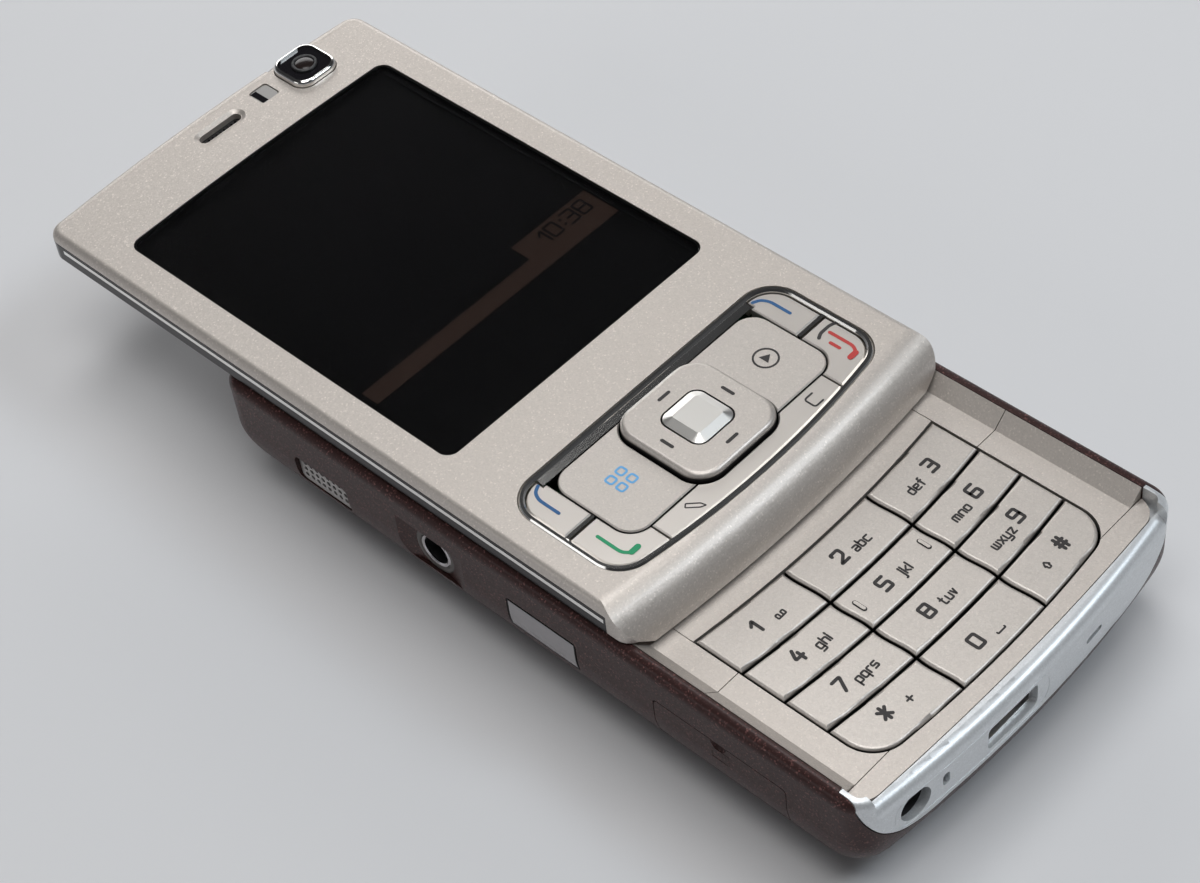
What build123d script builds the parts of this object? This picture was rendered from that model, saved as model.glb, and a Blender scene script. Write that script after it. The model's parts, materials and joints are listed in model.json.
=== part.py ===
"""Two-way slider phone, as an assembly of separate pieces.

Millimetres. The phone lies on its back: +X is its right side, +Y its top end and +Z its face.
The origin is in the middle of the base's back, where it rests. The slide is modelled pushed up,
with the number keys uncovered; SLIDE_OPEN is how far it then stands from its closed place.
"""
from build123d import *
from math import cos, radians, sin
import os

# ---- Overall sizes ----
BASE_LENGTH = 99.0
BASE_WIDTH = 52.8
TOP_END = BASE_LENGTH / 2
BOTTOM_END = -BASE_LENGTH / 2
RIM_HEIGHT = 17.0          # top of the rim that runs round the deck
FACE_HEIGHT = 21.0         # front face of the slide
UNDERSIDE_ROUND = 10.0     # rounding between the sides and the flat back
RIM_CORNER = 3.5
CORNER_GROWTH = 0.9        # how much the corners soften towards the back
RIM_ROUND = 1.3
BASE_BOW = 2.0             # how far the middle of each end stands out from its corners
SIDE_WALL = 1.55
END_WALL = 2.2
COVER_WALL = 1.0
CHANNEL_INSET = 0.65       # how far the open ends that the slide passes through lie inside the deck's edge
END_ROUND = 1.6            # rounding of the low ends, along the bow
SEAM = 0.1                 # gap at a joint line between two fixed shells
FIT = 0.12                 # gap round a piece that moves in an opening
ROUND_STEPS = [90, 80, 70, 60, 50, 40, 30, 20, 10, 0]

SLIDE_SETBACK = 0.5        # how far the slide's ends stay inside the base's when it is closed
SLIDE_INSET = 0.8          # how far its sides stay inside the base's
SLIDE_LENGTH = BASE_LENGTH - 2 * SLIDE_SETBACK
SLIDE_WIDTH = BASE_WIDTH - 2 * SLIDE_INSET
SLIDE_OPEN = 30.9
MEDIA_TRAVEL = 18.2        # the slide's travel the other way, past closed
SLIDE_TRAVEL = SLIDE_OPEN + MEDIA_TRAVEL
SLIDE_TOP_BOW = 1.0
LIP_BOW = 1.5
SLIDE_CORNER = 2.2
SLIDE_GAP = 0.5            # between the deck and the slide's back plate
LIP_ROUND = 4.9
EDGE_ROUND = 1.0

# ---- Deck and keypad ----
DECK_LEVEL = 15.3
DECK_THICKNESS = 0.8
DECK_HALF = BASE_WIDTH / 2 - SIDE_WALL - SEAM
CHANNEL_HALF = DECK_HALF - CHANNEL_INSET
FACET_WIDTH = 1.85
FACET_FOOT = DECK_HALF - FACET_WIDTH   # where the deck's flat part meets its sloping sides
KEYPAD_MARGIN = 5.05
KEYPAD_HALF = DECK_HALF - KEYPAD_MARGIN
KEYPAD_PLACE = 28.45
KEYPAD_TOP = BOTTOM_END + KEYPAD_PLACE   # top edge of the top row, on the centre line
TOP_ROW_DEPTH = 6.55
MIDDLE_ROW_DEPTH = 5.7
BOTTOM_ROW_DEPTH = 6.2
ROW_RISE = 1.2             # how far a row line climbs from the centre to the keypad's side
COLUMN_LINE = 6.8
COLUMN_SWAY = 0.35
KEY_GAP = 0.32
KEY_TOP = 15.45
KEY_THICKNESS = 1.05
KEY_CORNER = 4.2
KEY_EDGE = 0.4             # rounding of a key's upper edges
KEY_TRAVEL = 0.35
STEM_RADIUS = 1.1
DOME_RADIUS = 2.0
DOME_HEIGHT = 0.2
DECK_SEAM_PLACE = 23.5
DECK_SEAM = BOTTOM_END + DECK_SEAM_PLACE
STRIP_SEAM_PLACE = 5.5
STRIP_SEAM = BOTTOM_END + STRIP_SEAM_PLACE
CAP_LOW_EDGE = 8.2         # lower edge of the end cap, straight as far as CAP_FLAT_HALF
CAP_FLAT_HALF = 14.0
CAP_SIDE_EDGE = 15.9       # where it has come round to the corners
DECK_END_MARGIN = 2.3
DECK_END = BOTTOM_END + DECK_END_MARGIN
DECK_END_RISE = 0.9
BAND_DEPTH = 9.05
BAND_TOP = KEYPAD_TOP + BAND_DEPTH     # hidden edge of the strip between the keypad and the slide

# ---- Inside the base ----
BOARD_LEVEL = 10.4
BOARD_THICKNESS = 0.8
BOARD_INSET = 3.9
BOARD_HALF = BASE_WIDTH / 2 - BOARD_INSET
BOARD_LOW_MARGIN = 7.5
BOARD_LOW_END = BOTTOM_END + BOARD_LOW_MARGIN
BOARD_HIGH_MARGIN = 4.5
BOARD_HIGH_END = TOP_END - BOARD_HIGH_MARGIN
SHEET_THICKNESS = 0.3
FLAT_HALF = BASE_WIDTH / 2 - UNDERSIDE_ROUND
BATTERY_SIDE_ROOM = 0.1
BATTERY_HALF = FLAT_HALF - BATTERY_SIDE_ROOM
BATTERY_LENGTH = 50.0
BATTERY_THICKNESS = 6.0
BATTERY_PLACE = 37.5
BATTERY_MIDDLE = BOTTOM_END + BATTERY_PLACE
COVER_OVERHANG = 2.2
COVER_HALF = FLAT_HALF + COVER_OVERHANG
COVER_LENGTH = 52.5
COVER_CORNER = 5.0
LEDGE_DEPTH = 3.6
CAN_DEPTH = 3.2
CAN_ROOM = 0.6
CAN_SIDE = 6.0
LOWER_CAN_LENGTH = 38.0
UPPER_CAN_LENGTH = 14.0
UPPER_CAN_HEIGHT = 1.3
LEDGE_LENGTH = 5.0

# ---- Slide mechanism ----
GUIDE_THICKNESS = 0.5
GUIDE_SIDE_ROOM = 0.25
GUIDE_HALF = DECK_HALF - GUIDE_SIDE_ROOM
GUIDE_END_ROOM = 2.6
GUIDE_TOP = TOP_END - GUIDE_END_ROOM
GUIDE_MARGIN = 6.0         # metal below the lower ends of the slots
GUIDE_FOOT_LENGTH = 5.0
RAIL_INSET = 1.7
RAIL_X = FACET_FOOT - RAIL_INSET
SHOE_LENGTH = 10.0
SHOE_PLACE = 9.9
SHOE_Y = TOP_END - SHOE_PLACE     # middle of the rail shoes with the slide up
SHOE_STEM = 0.9
SHOE_HEAD = 2.2
SHOE_HEAD_THICKNESS = 0.5
SHOE_FIT = 0.25
SHOE_ROOM = 0.3
SLOT_END_ROOM = 0.3
PLATE_THICKNESS = 0.35
PLATE_SIDE_ROOM = 0.9
PLATE_HALF = FACET_FOOT - PLATE_SIDE_ROOM
FLEX_WIDTH = 14.0
FLEX_THICKNESS = 0.12
FLEX_WINDOW_Y = 18.0
FLEX_BEND_Y = 4.9
FLEX_SLIDE_Y = 29.6
FLEX_ROOM = 0.6
FLEX_FIT = 0.1             # between the flex and the tops of the number keys

# ---- Slide ----
COVER_SEAM = 19.9          # joint line between the front cover and the chassis
CHASSIS_FLOOR = 16.2
CHASSIS_SHEET = 0.7
CHASSIS_WALL = 1.1
CHASSIS_SIDE = 17.35
CHASSIS_PLACE = 4.8
CHASSIS_END = CHASSIS_PLACE - SLIDE_LENGTH / 2   # lower end of the chassis, from the slide's middle
CLUSTER_PLACE = 4.4
CLUSTER_LENGTH = 19.1
CLUSTER_BOTTOM = CLUSTER_PLACE - SLIDE_LENGTH / 2
CLUSTER_TOP = CLUSTER_BOTTOM + CLUSTER_LENGTH
WINDOW_SIDE = 4.7
WINDOW_BROW = 11.05        # between the window and the slide's top end
WINDOW_CHIN = 8.75         # between the window and the control keys
WINDOW_WIDTH = SLIDE_WIDTH - 2 * WINDOW_SIDE
WINDOW_LENGTH = SLIDE_LENGTH / 2 - WINDOW_BROW - CLUSTER_TOP - WINDOW_CHIN
WINDOW_MIDDLE = SLIDE_LENGTH / 2 - WINDOW_BROW - WINDOW_LENGTH / 2
WINDOW_CORNER = 1.6
WINDOW_RECESS = 0.15
WINDOW_THICKNESS = 0.8
PANEL_MARGIN = 0.8
PANEL_GAP = 0.3
SLIDE_BOARD_THICKNESS = 0.4
SLIDE_BOARD_ROOM = 3.1
SLIDE_BOARD_HALF = SLIDE_WIDTH / 2 - CHASSIS_WALL - SLIDE_BOARD_ROOM
LIP_HOLLOW_SIDE = 9.6
LIP_HOLLOW_HALF = SLIDE_WIDTH / 2 - LIP_HOLLOW_SIDE
LIP_HOLLOW_DEPTH = 2.6

# ---- Control keys, from the slide's middle ----
CLUSTER_SIDE = 3.95
CLUSTER_HALF = SLIDE_WIDTH / 2 - CLUSTER_SIDE
CLUSTER_RISE = 1.9
CLUSTER_CORNER = 4.2
BEZEL_RIM = 0.75
BEZEL_TOP = 21.1
BEZEL_DEPTH = 1.9
CONTROL_KEY_TOP = 20.75
CONTROL_KEY_THICKNESS = 1.5
CONTROL_GAP = 0.22
CONTROL_TRAVEL = 0.25
CONTROL_STEM = 0.8
CONTROL_DOME_RADIUS = 1.5
SIDE_STEM_INSET = 2.95
SIDE_STEM_X = CLUSTER_HALF - SIDE_STEM_INSET
SOFT_STEM_PLACE = 13.6
SOFT_STEM_Y = CLUSTER_BOTTOM + SOFT_STEM_PLACE
HOOK_STEM_PLACE = 6.0
HOOK_STEM_Y = CLUSTER_BOTTOM + HOOK_STEM_PLACE
BAR_STEM_X = 9.0
BAR_STEM_PLACE = 2.7
BAR_STEM_Y = CLUSTER_BOTTOM + BAR_STEM_PLACE
BAR_WIDTH = 0.35           # chrome bar between a soft key and the call key below it
BAR_PLACE = 10.2
BAR_MIDDLE = CLUSTER_BOTTOM + BAR_PLACE
PLATE_SIDE = 5.15
PLATE_LEFT = CLUSTER_HALF - PLATE_SIDE
PLATE_DROP = 1.9
PLATE_TOP = CLUSTER_TOP - PLATE_DROP
PLATE_LIFT = 4.7
PLATE_BOTTOM = CLUSTER_BOTTOM + PLATE_LIFT
PLATE_CORNER = 2.6
BEZEL_BAND_OVERLAP = 0.5
BEZEL_BAND_HALF = PLATE_LEFT + BEZEL_BAND_OVERLAP
WIDE_STEM_INSET = 4.7
WIDE_STEM_X = PLATE_LEFT - WIDE_STEM_INSET
WIDE_STEM_PLACE = 10.7
WIDE_STEM_Y = CLUSTER_BOTTOM + WIDE_STEM_PLACE
STRIP_INSET = 2.7
STRIP_END = PLATE_LEFT - STRIP_INSET
RING_PLACE = 10.3
RING_MIDDLE = CLUSTER_BOTTOM + RING_PLACE
RING_WIDTH = 13.9
RING_CORNER = 3.2
RING_TOP = 21.75
RING_THICKNESS = 2.2
RING_TILT_ROOM = 0.3
GIMBAL_WIDTH = 11.0
GIMBAL_THICKNESS = 0.8
SELECT_WIDTH = 6.2
SELECT_CORNER = 1.3
SELECT_TOP = 22.2
SELECT_BEVEL = 1.1

# ---- Small pieces of the slide's top end, from the slide's middle ----
CAMERA_X = 14.2
CAMERA_PLACE = 4.25
CAMERA_Y = SLIDE_LENGTH / 2 - CAMERA_PLACE
CAMERA_WIDTH = 6.7
CAMERA_CORNER = 2.0
CAMERA_TOP = 21.85
CAMERA_RIM = 0.5
FRONT_LENS_RADIUS = 1.6
SENSOR_X = 7.65
SENSOR_PLACE = 3.7
SENSOR_Y = SLIDE_LENGTH / 2 - SENSOR_PLACE
SENSOR_WIDTH = 2.7
EARPIECE_PLACE = 4.0
EARPIECE_Y = SLIDE_LENGTH / 2 - EARPIECE_PLACE
EARPIECE_WIDTH = 6.5
EARPIECE_DEPTH = 1.5
DISH_REACH = 0.6
DISH_DEPTH = 0.3
MESH_THICKNESS = 0.25
MESH_HOLE = 0.18
MESH_PITCH = 0.62

# ---- Sockets and side pieces of the base ----
SOCKET_LEVEL = 11.7
CHARGER_PLACE = 7.5
CHARGER_X = CHARGER_PLACE - BASE_WIDTH / 2
CHARGER_BORE = 1.1
CHARGER_BODY = 2.25
CHARGER_MOUTH = 2.1
CHARGER_LENGTH = 9.0
USB_X = -4.4
USB_WIDTH = 7.8
USB_HEIGHT = 3.2
USB_DEPTH = 5.5
USB_SHEET = 0.35
MIC_PLACE = 4.3
MIC_X = CHARGER_X + MIC_PLACE
MIC_WIDTH = 1.0
MIC_HEIGHT = 1.9
SLIT_X = 9.6
SLIT_WIDTH = 2.8
SLIT_HEIGHT = 0.8
JACK_PLACE = 36.0
JACK_Y = TOP_END - JACK_PLACE
JACK_LEVEL = 10.3
JACK_BORE = 1.78
JACK_BODY = 2.9
JACK_LENGTH = 14.0
JACK_DEPTH = 12.0
SPEAKER_PLACE = 18.0
SPEAKER_Y = TOP_END - SPEAKER_PLACE
SPEAKER_LEVEL = 9.2
SPEAKER_LENGTH = 8.6
SPEAKER_HEIGHT = 3.8
GRILLE_THICKNESS = 0.6
GRILLE_RECESS = 0.55
GRILLE_HOLE = 0.3
GRILLE_PITCH = 0.95
SCOOP_RADIUS = 14.0
SCOOP_DEPTH = 1.0
SCOOP_HEIGHT = 6.2
INFRARED_PLACE = 53.1
INFRARED_Y = TOP_END - INFRARED_PLACE
INFRARED_LENGTH = 10.2
INFRARED_LEVEL = 10.0
INFRARED_HEIGHT = 4.6
DOOR_PLACE = 20.6
DOOR_Y = BOTTOM_END + DOOR_PLACE
DOOR_LENGTH = 17.9
DOOR_LEVEL = 9.5
DOOR_HEIGHT = 5.8
CARD_WIDTH = 11.2
CARD_DEPTH = 9.5
CARD_HOLDER_HEIGHT = 1.6
SIDE_KEY_LEVEL = 11.2
SIDE_KEY_HEIGHT = 2.8
SIDE_KEY_PROUD = 0.55
SIDE_KEY_DEPTH = 2.3
SIDE_KEY_TRAVEL = 0.4
NIB_RADIUS = 0.7
VOLUME_NIB = 5.0
VOLUME_PLACE = 36.5
VOLUME_Y = TOP_END - VOLUME_PLACE
VOLUME_LENGTH = 14.0
GALLERY_PLACE = 54.5
GALLERY_Y = TOP_END - GALLERY_PLACE
GALLERY_LENGTH = 4.5
SHUTTER_KEY_PLACE = 18.5
SHUTTER_KEY_Y = BOTTOM_END + SHUTTER_KEY_PLACE
SHUTTER_KEY_LENGTH = 9.0
POWER_LENGTH = 8.0
MEDIA_KEY_SIDE = 2.6
MEDIA_KEY_PITCH = (RAIL_X - MEDIA_KEY_SIDE) / 2
MEDIA_KEY_GAP = 0.3
MEDIA_KEY_PLACE = 8.9
MEDIA_KEY_Y = TOP_END - MEDIA_KEY_PLACE
MEDIA_KEY_DEPTH = 7.6

# ---- Rear camera ----
LENS_PLACE = 15.5
LENS_Y = TOP_END - LENS_PLACE
LENS_RADIUS = 3.5
LENS_RING = 6.0
LENS_RING_HEIGHT = 1.3
LENS_RECESS = 0.15
BLADE_THICKNESS = 0.5
BLADE_HALF = 3.8
BLADE_LEFT = 3.9
BLADE_TRAVEL = 7.5
KNOB_HALF = 1.1
KNOB_MIDDLE = 15.4
BLADE_ARM_END = KNOB_MIDDLE + KNOB_HALF + 0.1
MODULE_WIDTH = 11.0
MODULE_BOTTOM = 2.4
BARREL_RADIUS = 3.4
BARREL_HEIGHT = 0.9

# ---- Heights and places that follow ----
KEY_BOTTOM = KEY_TOP - KEY_THICKNESS
DECK_UNDERSIDE = DECK_LEVEL - DECK_THICKNESS
GUIDE_LEVEL = DECK_UNDERSIDE - SEAM - GUIDE_THICKNESS
SLOT_LOW = SHOE_Y - SLIDE_TRAVEL - SHOE_LENGTH / 2 - SLOT_END_ROOM
SLOT_HIGH = SHOE_Y + SHOE_LENGTH / 2 + SLOT_END_ROOM
GUIDE_BOTTOM = SLOT_LOW - GUIDE_MARGIN
SHOE_HEAD_TOP = GUIDE_LEVEL - SHOE_FIT
SHOE_HEAD_BOTTOM = SHOE_HEAD_TOP - SHOE_HEAD_THICKNESS
BOARD_TOP = BOARD_LEVEL + BOARD_THICKNESS
DOME_TOP = BOARD_TOP + SHEET_THICKNESS + DOME_HEIGHT
STEM_BOTTOM = DOME_TOP + KEY_TRAVEL + 0.05
PLATE_BOTTOM_LEVEL = DECK_LEVEL + SLIDE_GAP
SLIDE_BOARD_LEVEL = CHASSIS_FLOOR + CHASSIS_SHEET + 0.05
SLIDE_BOARD_TOP = SLIDE_BOARD_LEVEL + SLIDE_BOARD_THICKNESS
CONTROL_STEM_BOTTOM = SLIDE_BOARD_TOP + DOME_HEIGHT + CONTROL_TRAVEL + 0.05
WINDOW_TOP = FACE_HEIGHT - WINDOW_RECESS
WINDOW_BOTTOM = WINDOW_TOP - WINDOW_THICKNESS
SLIDE_BOW_RADIUS = ((SLIDE_WIDTH / 2) ** 2 + LIP_BOW ** 2) / (2 * LIP_BOW)
ROW_LINES = [
    KEYPAD_TOP,
    KEYPAD_TOP - TOP_ROW_DEPTH,
    KEYPAD_TOP - TOP_ROW_DEPTH - MIDDLE_ROW_DEPTH,
    KEYPAD_TOP - TOP_ROW_DEPTH - 2 * MIDDLE_ROW_DEPTH,
    KEYPAD_TOP - TOP_ROW_DEPTH - 2 * MIDDLE_ROW_DEPTH - BOTTOM_ROW_DEPTH,
]
COLUMN_LINES = [-KEYPAD_HALF, -COLUMN_LINE, COLUMN_LINE, KEYPAD_HALF]
FAR = 80.0                 # reach of a cutting block past the phone
NEARLY_STRAIGHT = 0.05     # bow of an edge that is all but straight

os.makedirs("parts", exist_ok=True)


def keep(builder, name):
    """Labels a finished piece and writes it."""
    builder.part.label = name
    export_step(builder.part, f"parts/{name}.step")


def on_slide(y):
    """A place along the slide, from its own middle to the phone's frame."""
    return y + SLIDE_OPEN


# ---- Outlines ----
def bowed_outline(half_width, low, high, low_rise, high_drop, corner):
    """Straight sides, ends that bow outwards, rounded corners."""
    with BuildSketch() as outline:
        with BuildLine():
            ThreePointArc((-half_width, low + low_rise), (0, low), (half_width, low + low_rise))
            Line((half_width, low + low_rise), (half_width, high - high_drop))
            ThreePointArc((half_width, high - high_drop), (0, high), (-half_width, high - high_drop))
            Line((-half_width, high - high_drop), (-half_width, low + low_rise))
        make_face()
        fillet(outline.vertices(), corner)
    return outline.sketch


def slab(outline, bottom, top):
    """A flat outline as a solid between two heights."""
    with BuildPart() as body:
        with BuildSketch(Plane.XY.offset(bottom)):
            add(outline)
        extrude(amount=top - bottom)
    return body.part


def block(x_low, x_high, y_low, y_high, z_low, z_high):
    """A plain rectangular solid between six planes."""
    with BuildPart() as body:
        with Locations(((x_low + x_high) / 2, (y_low + y_high) / 2, (z_low + z_high) / 2)):
            Box(x_high - x_low, y_high - y_low, z_high - z_low)
    return body.part


def rounded_slab(x, y, width, length, corner, bottom, top):
    """A rounded rectangle as a solid between two heights."""
    with BuildPart() as body:
        with BuildSketch(Plane.XY.offset(bottom)):
            with Locations((x, y)):
                RectangleRounded(width, length, corner)
        extrude(amount=top - bottom)
    return body.part


def rounded_bar(plane, width, height, corner, depth):
    """A rounded rectangle on a plane, as a solid from that plane along its normal."""
    with BuildPart() as body:
        with BuildSketch(plane):
            RectangleRounded(width, height, corner)
        extrude(amount=depth)
    return body.part


# ---- The base's outer form ----
def base_outline(wall, end_wall, turn):
    """Plan of the base where its rounded underside has turned by so many degrees."""
    draw = UNDERSIDE_ROUND - (UNDERSIDE_ROUND - wall) * cos(radians(turn))
    end_draw = draw - wall + end_wall
    half_length = BASE_LENGTH / 2 - end_draw
    corner = RIM_CORNER - 0.6 * wall + CORNER_GROWTH * (draw - wall)
    return bowed_outline(BASE_WIDTH / 2 - draw, -half_length, half_length, BASE_BOW, BASE_BOW, corner)


def base_form(wall=0.0, end_wall=0.0, top=RIM_HEIGHT):
    """The base as one body, drawn in by the given walls."""
    with BuildPart() as form:
        for turn in ROUND_STEPS:
            height = UNDERSIDE_ROUND - (UNDERSIDE_ROUND - wall) * sin(radians(turn))
            with BuildSketch(Plane.XY.offset(height)):
                add(base_outline(wall, end_wall, turn))
        loft()
        with BuildSketch(Plane.XY.offset(UNDERSIDE_ROUND)):
            add(base_outline(wall, end_wall, 0))
        extrude(amount=top - UNDERSIDE_ROUND)
    return form.part


def end_cap_region(gap):
    """Space of the bottom end cap: its lower edge rises round the corners to the rim."""
    flat = CAP_FLAT_HALF + gap
    turn = (CAP_FLAT_HALF + 8.7 + gap, CAP_LOW_EDGE + 2.1 - gap)
    side = BASE_WIDTH / 2 - 0.6 + gap
    rim = BASE_WIDTH / 2 - 1.3 + gap
    with BuildPart() as region:
        with BuildSketch(Plane.XZ.offset(-STRIP_SEAM - gap)):
            with BuildLine():
                Line((-flat, CAP_LOW_EDGE - gap), (flat, CAP_LOW_EDGE - gap))
                ThreePointArc((flat, CAP_LOW_EDGE - gap), turn, (side, CAP_SIDE_EDGE - gap))
                Polyline(
                    (side, CAP_SIDE_EDGE - gap), (rim, RIM_HEIGHT + 1),
                    (-rim, RIM_HEIGHT + 1), (-side, CAP_SIDE_EDGE - gap),
                )
                ThreePointArc((-side, CAP_SIDE_EDGE - gap), (-turn[0], turn[1]), (-flat, CAP_LOW_EDGE - gap))
            make_face()
        extrude(amount=FAR)
    return region.part


def end_rounding(tip, end, bow_radius, level, round_radius, reach):
    """Space above and outside a rounded edge that follows a bowed end; end is -1 below, +1 above."""
    plane = Plane(origin=(0, tip - end * bow_radius, 0), x_dir=(0, -end, 0), z_dir=(-end, 0, 0))
    with BuildPart() as ring:
        with BuildSketch(plane):
            with BuildLine():
                Polyline(
                    (bow_radius - round_radius, level), (bow_radius - round_radius - reach, level),
                    (bow_radius - round_radius - reach, level + 4), (bow_radius + 3, level + 4),
                    (bow_radius + 3, level - round_radius), (bow_radius, level - round_radius),
                )
                RadiusArc((bow_radius, level - round_radius), (bow_radius - round_radius, level), -round_radius)
            make_face()
        revolve(axis=Axis(plane.origin, (0, 0, 1)), revolution_arc=360)
    return ring.part


def bow_radius_of(half_width, bow):
    return (half_width ** 2 + bow ** 2) / (2 * bow)


def end_channel(end):
    """The slide's way out over one end of the base."""
    radius = bow_radius_of(BASE_WIDTH / 2, BASE_BOW)
    with BuildPart() as channel:
        add(end_rounding(end * BASE_LENGTH / 2, end, radius, DECK_LEVEL, END_ROUND, 2.5))
        add(block(-CHANNEL_HALF, CHANNEL_HALF, -FAR, FAR, 0, RIM_HEIGHT + 1), mode=Mode.INTERSECT)
    return channel.part


outer_form = base_form()
deck_space = slab(
    bowed_outline(DECK_HALF + SEAM, DECK_END - SEAM, 0, DECK_END_RISE, BASE_BOW, 1.0),
    DECK_UNDERSIDE - SEAM, RIM_HEIGHT + 1,
)
inner_form = base_form(SIDE_WALL, END_WALL, RIM_HEIGHT + 2)
cover_form = base_form(COVER_WALL, COVER_WALL)


def battery_cover_region(gap):
    return rounded_slab(
        0, BATTERY_MIDDLE, 2 * (COVER_HALF + gap), COVER_LENGTH + 2 * gap, COVER_CORNER + gap,
        -1, UNDERSIDE_ROUND,
    )


def side_region(side, y, length, level, height, corner, gap=0.0):
    """A rounded window through one side wall."""
    plane = Plane(origin=(side * (BASE_WIDTH / 2 + 2), y, level), x_dir=(0, 1, 0), z_dir=(-side, 0, 0))
    return rounded_bar(plane, length + 2 * gap, height + 2 * gap, corner, 6.0)


# ---- Base shell ----
with BuildPart() as base_shell:
    add(outer_form)
    rim_edges = base_shell.faces().sort_by(Axis.Z)[-1].edges()
    fillet(rim_edges, RIM_ROUND)
    add(inner_form, mode=Mode.SUBTRACT)
    # ledges that carry the circuit board
    wall_x = BASE_WIDTH / 2 - SIDE_WALL + 0.3
    for side in (-1, 1):
        for ledge_y in (BOARD_LOW_END + 1.5, TOP_END - 25.5, BOARD_HIGH_END - 4.0):
            with Locations((side * (wall_x - LEDGE_DEPTH / 2), ledge_y, BOARD_LEVEL)):
                Box(LEDGE_DEPTH, LEDGE_LENGTH, 1.6, align=(Align.CENTER, Align.CENTER, Align.MAX))
    add(end_channel(1), mode=Mode.SUBTRACT)
    add(deck_space, mode=Mode.SUBTRACT)
    add(end_cap_region(0), mode=Mode.SUBTRACT)
    add(battery_cover_region(0), mode=Mode.SUBTRACT)
    # the thumb scoop round the audio jack
    with Locations((-BASE_WIDTH / 2 - SCOOP_RADIUS + SCOOP_DEPTH, JACK_Y, JACK_LEVEL)):
        Cylinder(SCOOP_RADIUS, SCOOP_HEIGHT, mode=Mode.SUBTRACT)
    # side openings
    for side in (-1, 1):
        speaker = side_region(side, SPEAKER_Y, SPEAKER_LENGTH, SPEAKER_LEVEL, SPEAKER_HEIGHT, 0.8, FIT)
        add(speaker, mode=Mode.SUBTRACT)
    jack_width = 2 * JACK_BODY
    jack_corner = JACK_BODY - 0.05
    add(side_region(-1, JACK_Y, jack_width, JACK_LEVEL, jack_width, jack_corner, SEAM / 2), mode=Mode.SUBTRACT)
    infrared = side_region(-1, INFRARED_Y, INFRARED_LENGTH, INFRARED_LEVEL, INFRARED_HEIGHT, 0.5, SEAM)
    add(infrared, mode=Mode.SUBTRACT)
    add(side_region(-1, DOOR_Y, DOOR_LENGTH, DOOR_LEVEL, DOOR_HEIGHT, 0.6, SEAM), mode=Mode.SUBTRACT)
    for key_y, key_length in (
        (VOLUME_Y, VOLUME_LENGTH), (GALLERY_Y, GALLERY_LENGTH), (SHUTTER_KEY_Y, SHUTTER_KEY_LENGTH)
    ):
        add(side_region(1, key_y, key_length, SIDE_KEY_LEVEL, SIDE_KEY_HEIGHT, 1.2, FIT), mode=Mode.SUBTRACT)
    power_plane = Plane(origin=(0, BASE_LENGTH / 2 + 2, SIDE_KEY_LEVEL), x_dir=(-1, 0, 0), z_dir=(0, -1, 0))
    power_opening = rounded_bar(power_plane, POWER_LENGTH + 2 * FIT, SIDE_KEY_HEIGHT + 2 * FIT, 1.2, 6.0)
    add(power_opening, mode=Mode.SUBTRACT)
    # rear camera ring and the slot of its shutter's knob
    with Locations((0, LENS_Y, SIDE_WALL / 2)):
        Cylinder(LENS_RING + SEAM, 2 * SIDE_WALL + 1, mode=Mode.SUBTRACT)
    add(
        block(
            KNOB_MIDDLE - BLADE_TRAVEL - KNOB_HALF - FIT, KNOB_MIDDLE + KNOB_HALF + FIT,
            LENS_Y - KNOB_HALF - FIT, LENS_Y + KNOB_HALF + FIT, -1, 2 * SIDE_WALL,
        ),
        mode=Mode.SUBTRACT,
    )
keep(base_shell, "base_shell")

with BuildPart() as battery_cover:
    add(outer_form)
    add(cover_form, mode=Mode.SUBTRACT)
    add(battery_cover_region(-SEAM), mode=Mode.INTERSECT)
keep(battery_cover, "battery_cover")

with BuildPart() as bottom_end_cap:
    add(outer_form)
    cap_rim = bottom_end_cap.faces().sort_by(Axis.Z)[-1].edges()
    fillet(cap_rim, RIM_ROUND)
    add(inner_form, mode=Mode.SUBTRACT)
    add(end_channel(-1), mode=Mode.SUBTRACT)
    add(deck_space, mode=Mode.SUBTRACT)
    add(end_cap_region(-SEAM), mode=Mode.INTERSECT)
    end_y = -BASE_LENGTH / 2
    with BuildSketch(Plane.XZ.offset(-end_y + 2)):
        with Locations((CHARGER_X, SOCKET_LEVEL)):
            Circle(CHARGER_MOUTH)
        with Locations((USB_X, SOCKET_LEVEL)):
            RectangleRounded(USB_WIDTH + SEAM, USB_HEIGHT + SEAM, 0.6)
        with Locations((MIC_X, SOCKET_LEVEL)):
            SlotOverall(MIC_HEIGHT, MIC_WIDTH, rotation=90)
        with Locations((SLIT_X, SOCKET_LEVEL - 0.5)):
            SlotOverall(SLIT_WIDTH, SLIT_HEIGHT)
    extrude(amount=-8, mode=Mode.SUBTRACT)
keep(bottom_end_cap, "bottom_end_cap")

with BuildPart() as battery:
    with Locations((0, BATTERY_MIDDLE, COVER_WALL + SEAM + BATTERY_THICKNESS / 2)):
        Box(2 * BATTERY_HALF, BATTERY_LENGTH, BATTERY_THICKNESS)
    fillet(battery.edges().filter_by(Axis.Z), 2.0)
keep(battery, "battery")

# ---- Number keys ----
def row_height(row, x):
    return ROW_LINES[row] + ROW_RISE * (x / KEYPAD_HALF) ** 2


def row_arc(row, x_start, x_end, shift):
    """Part of a row line, moved up or down by half the gap between keys."""
    x_middle = (x_start + x_end) / 2
    return ThreePointArc(*[(x, row_height(row, x) + shift) for x in (x_start, x_middle, x_end)])


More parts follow.
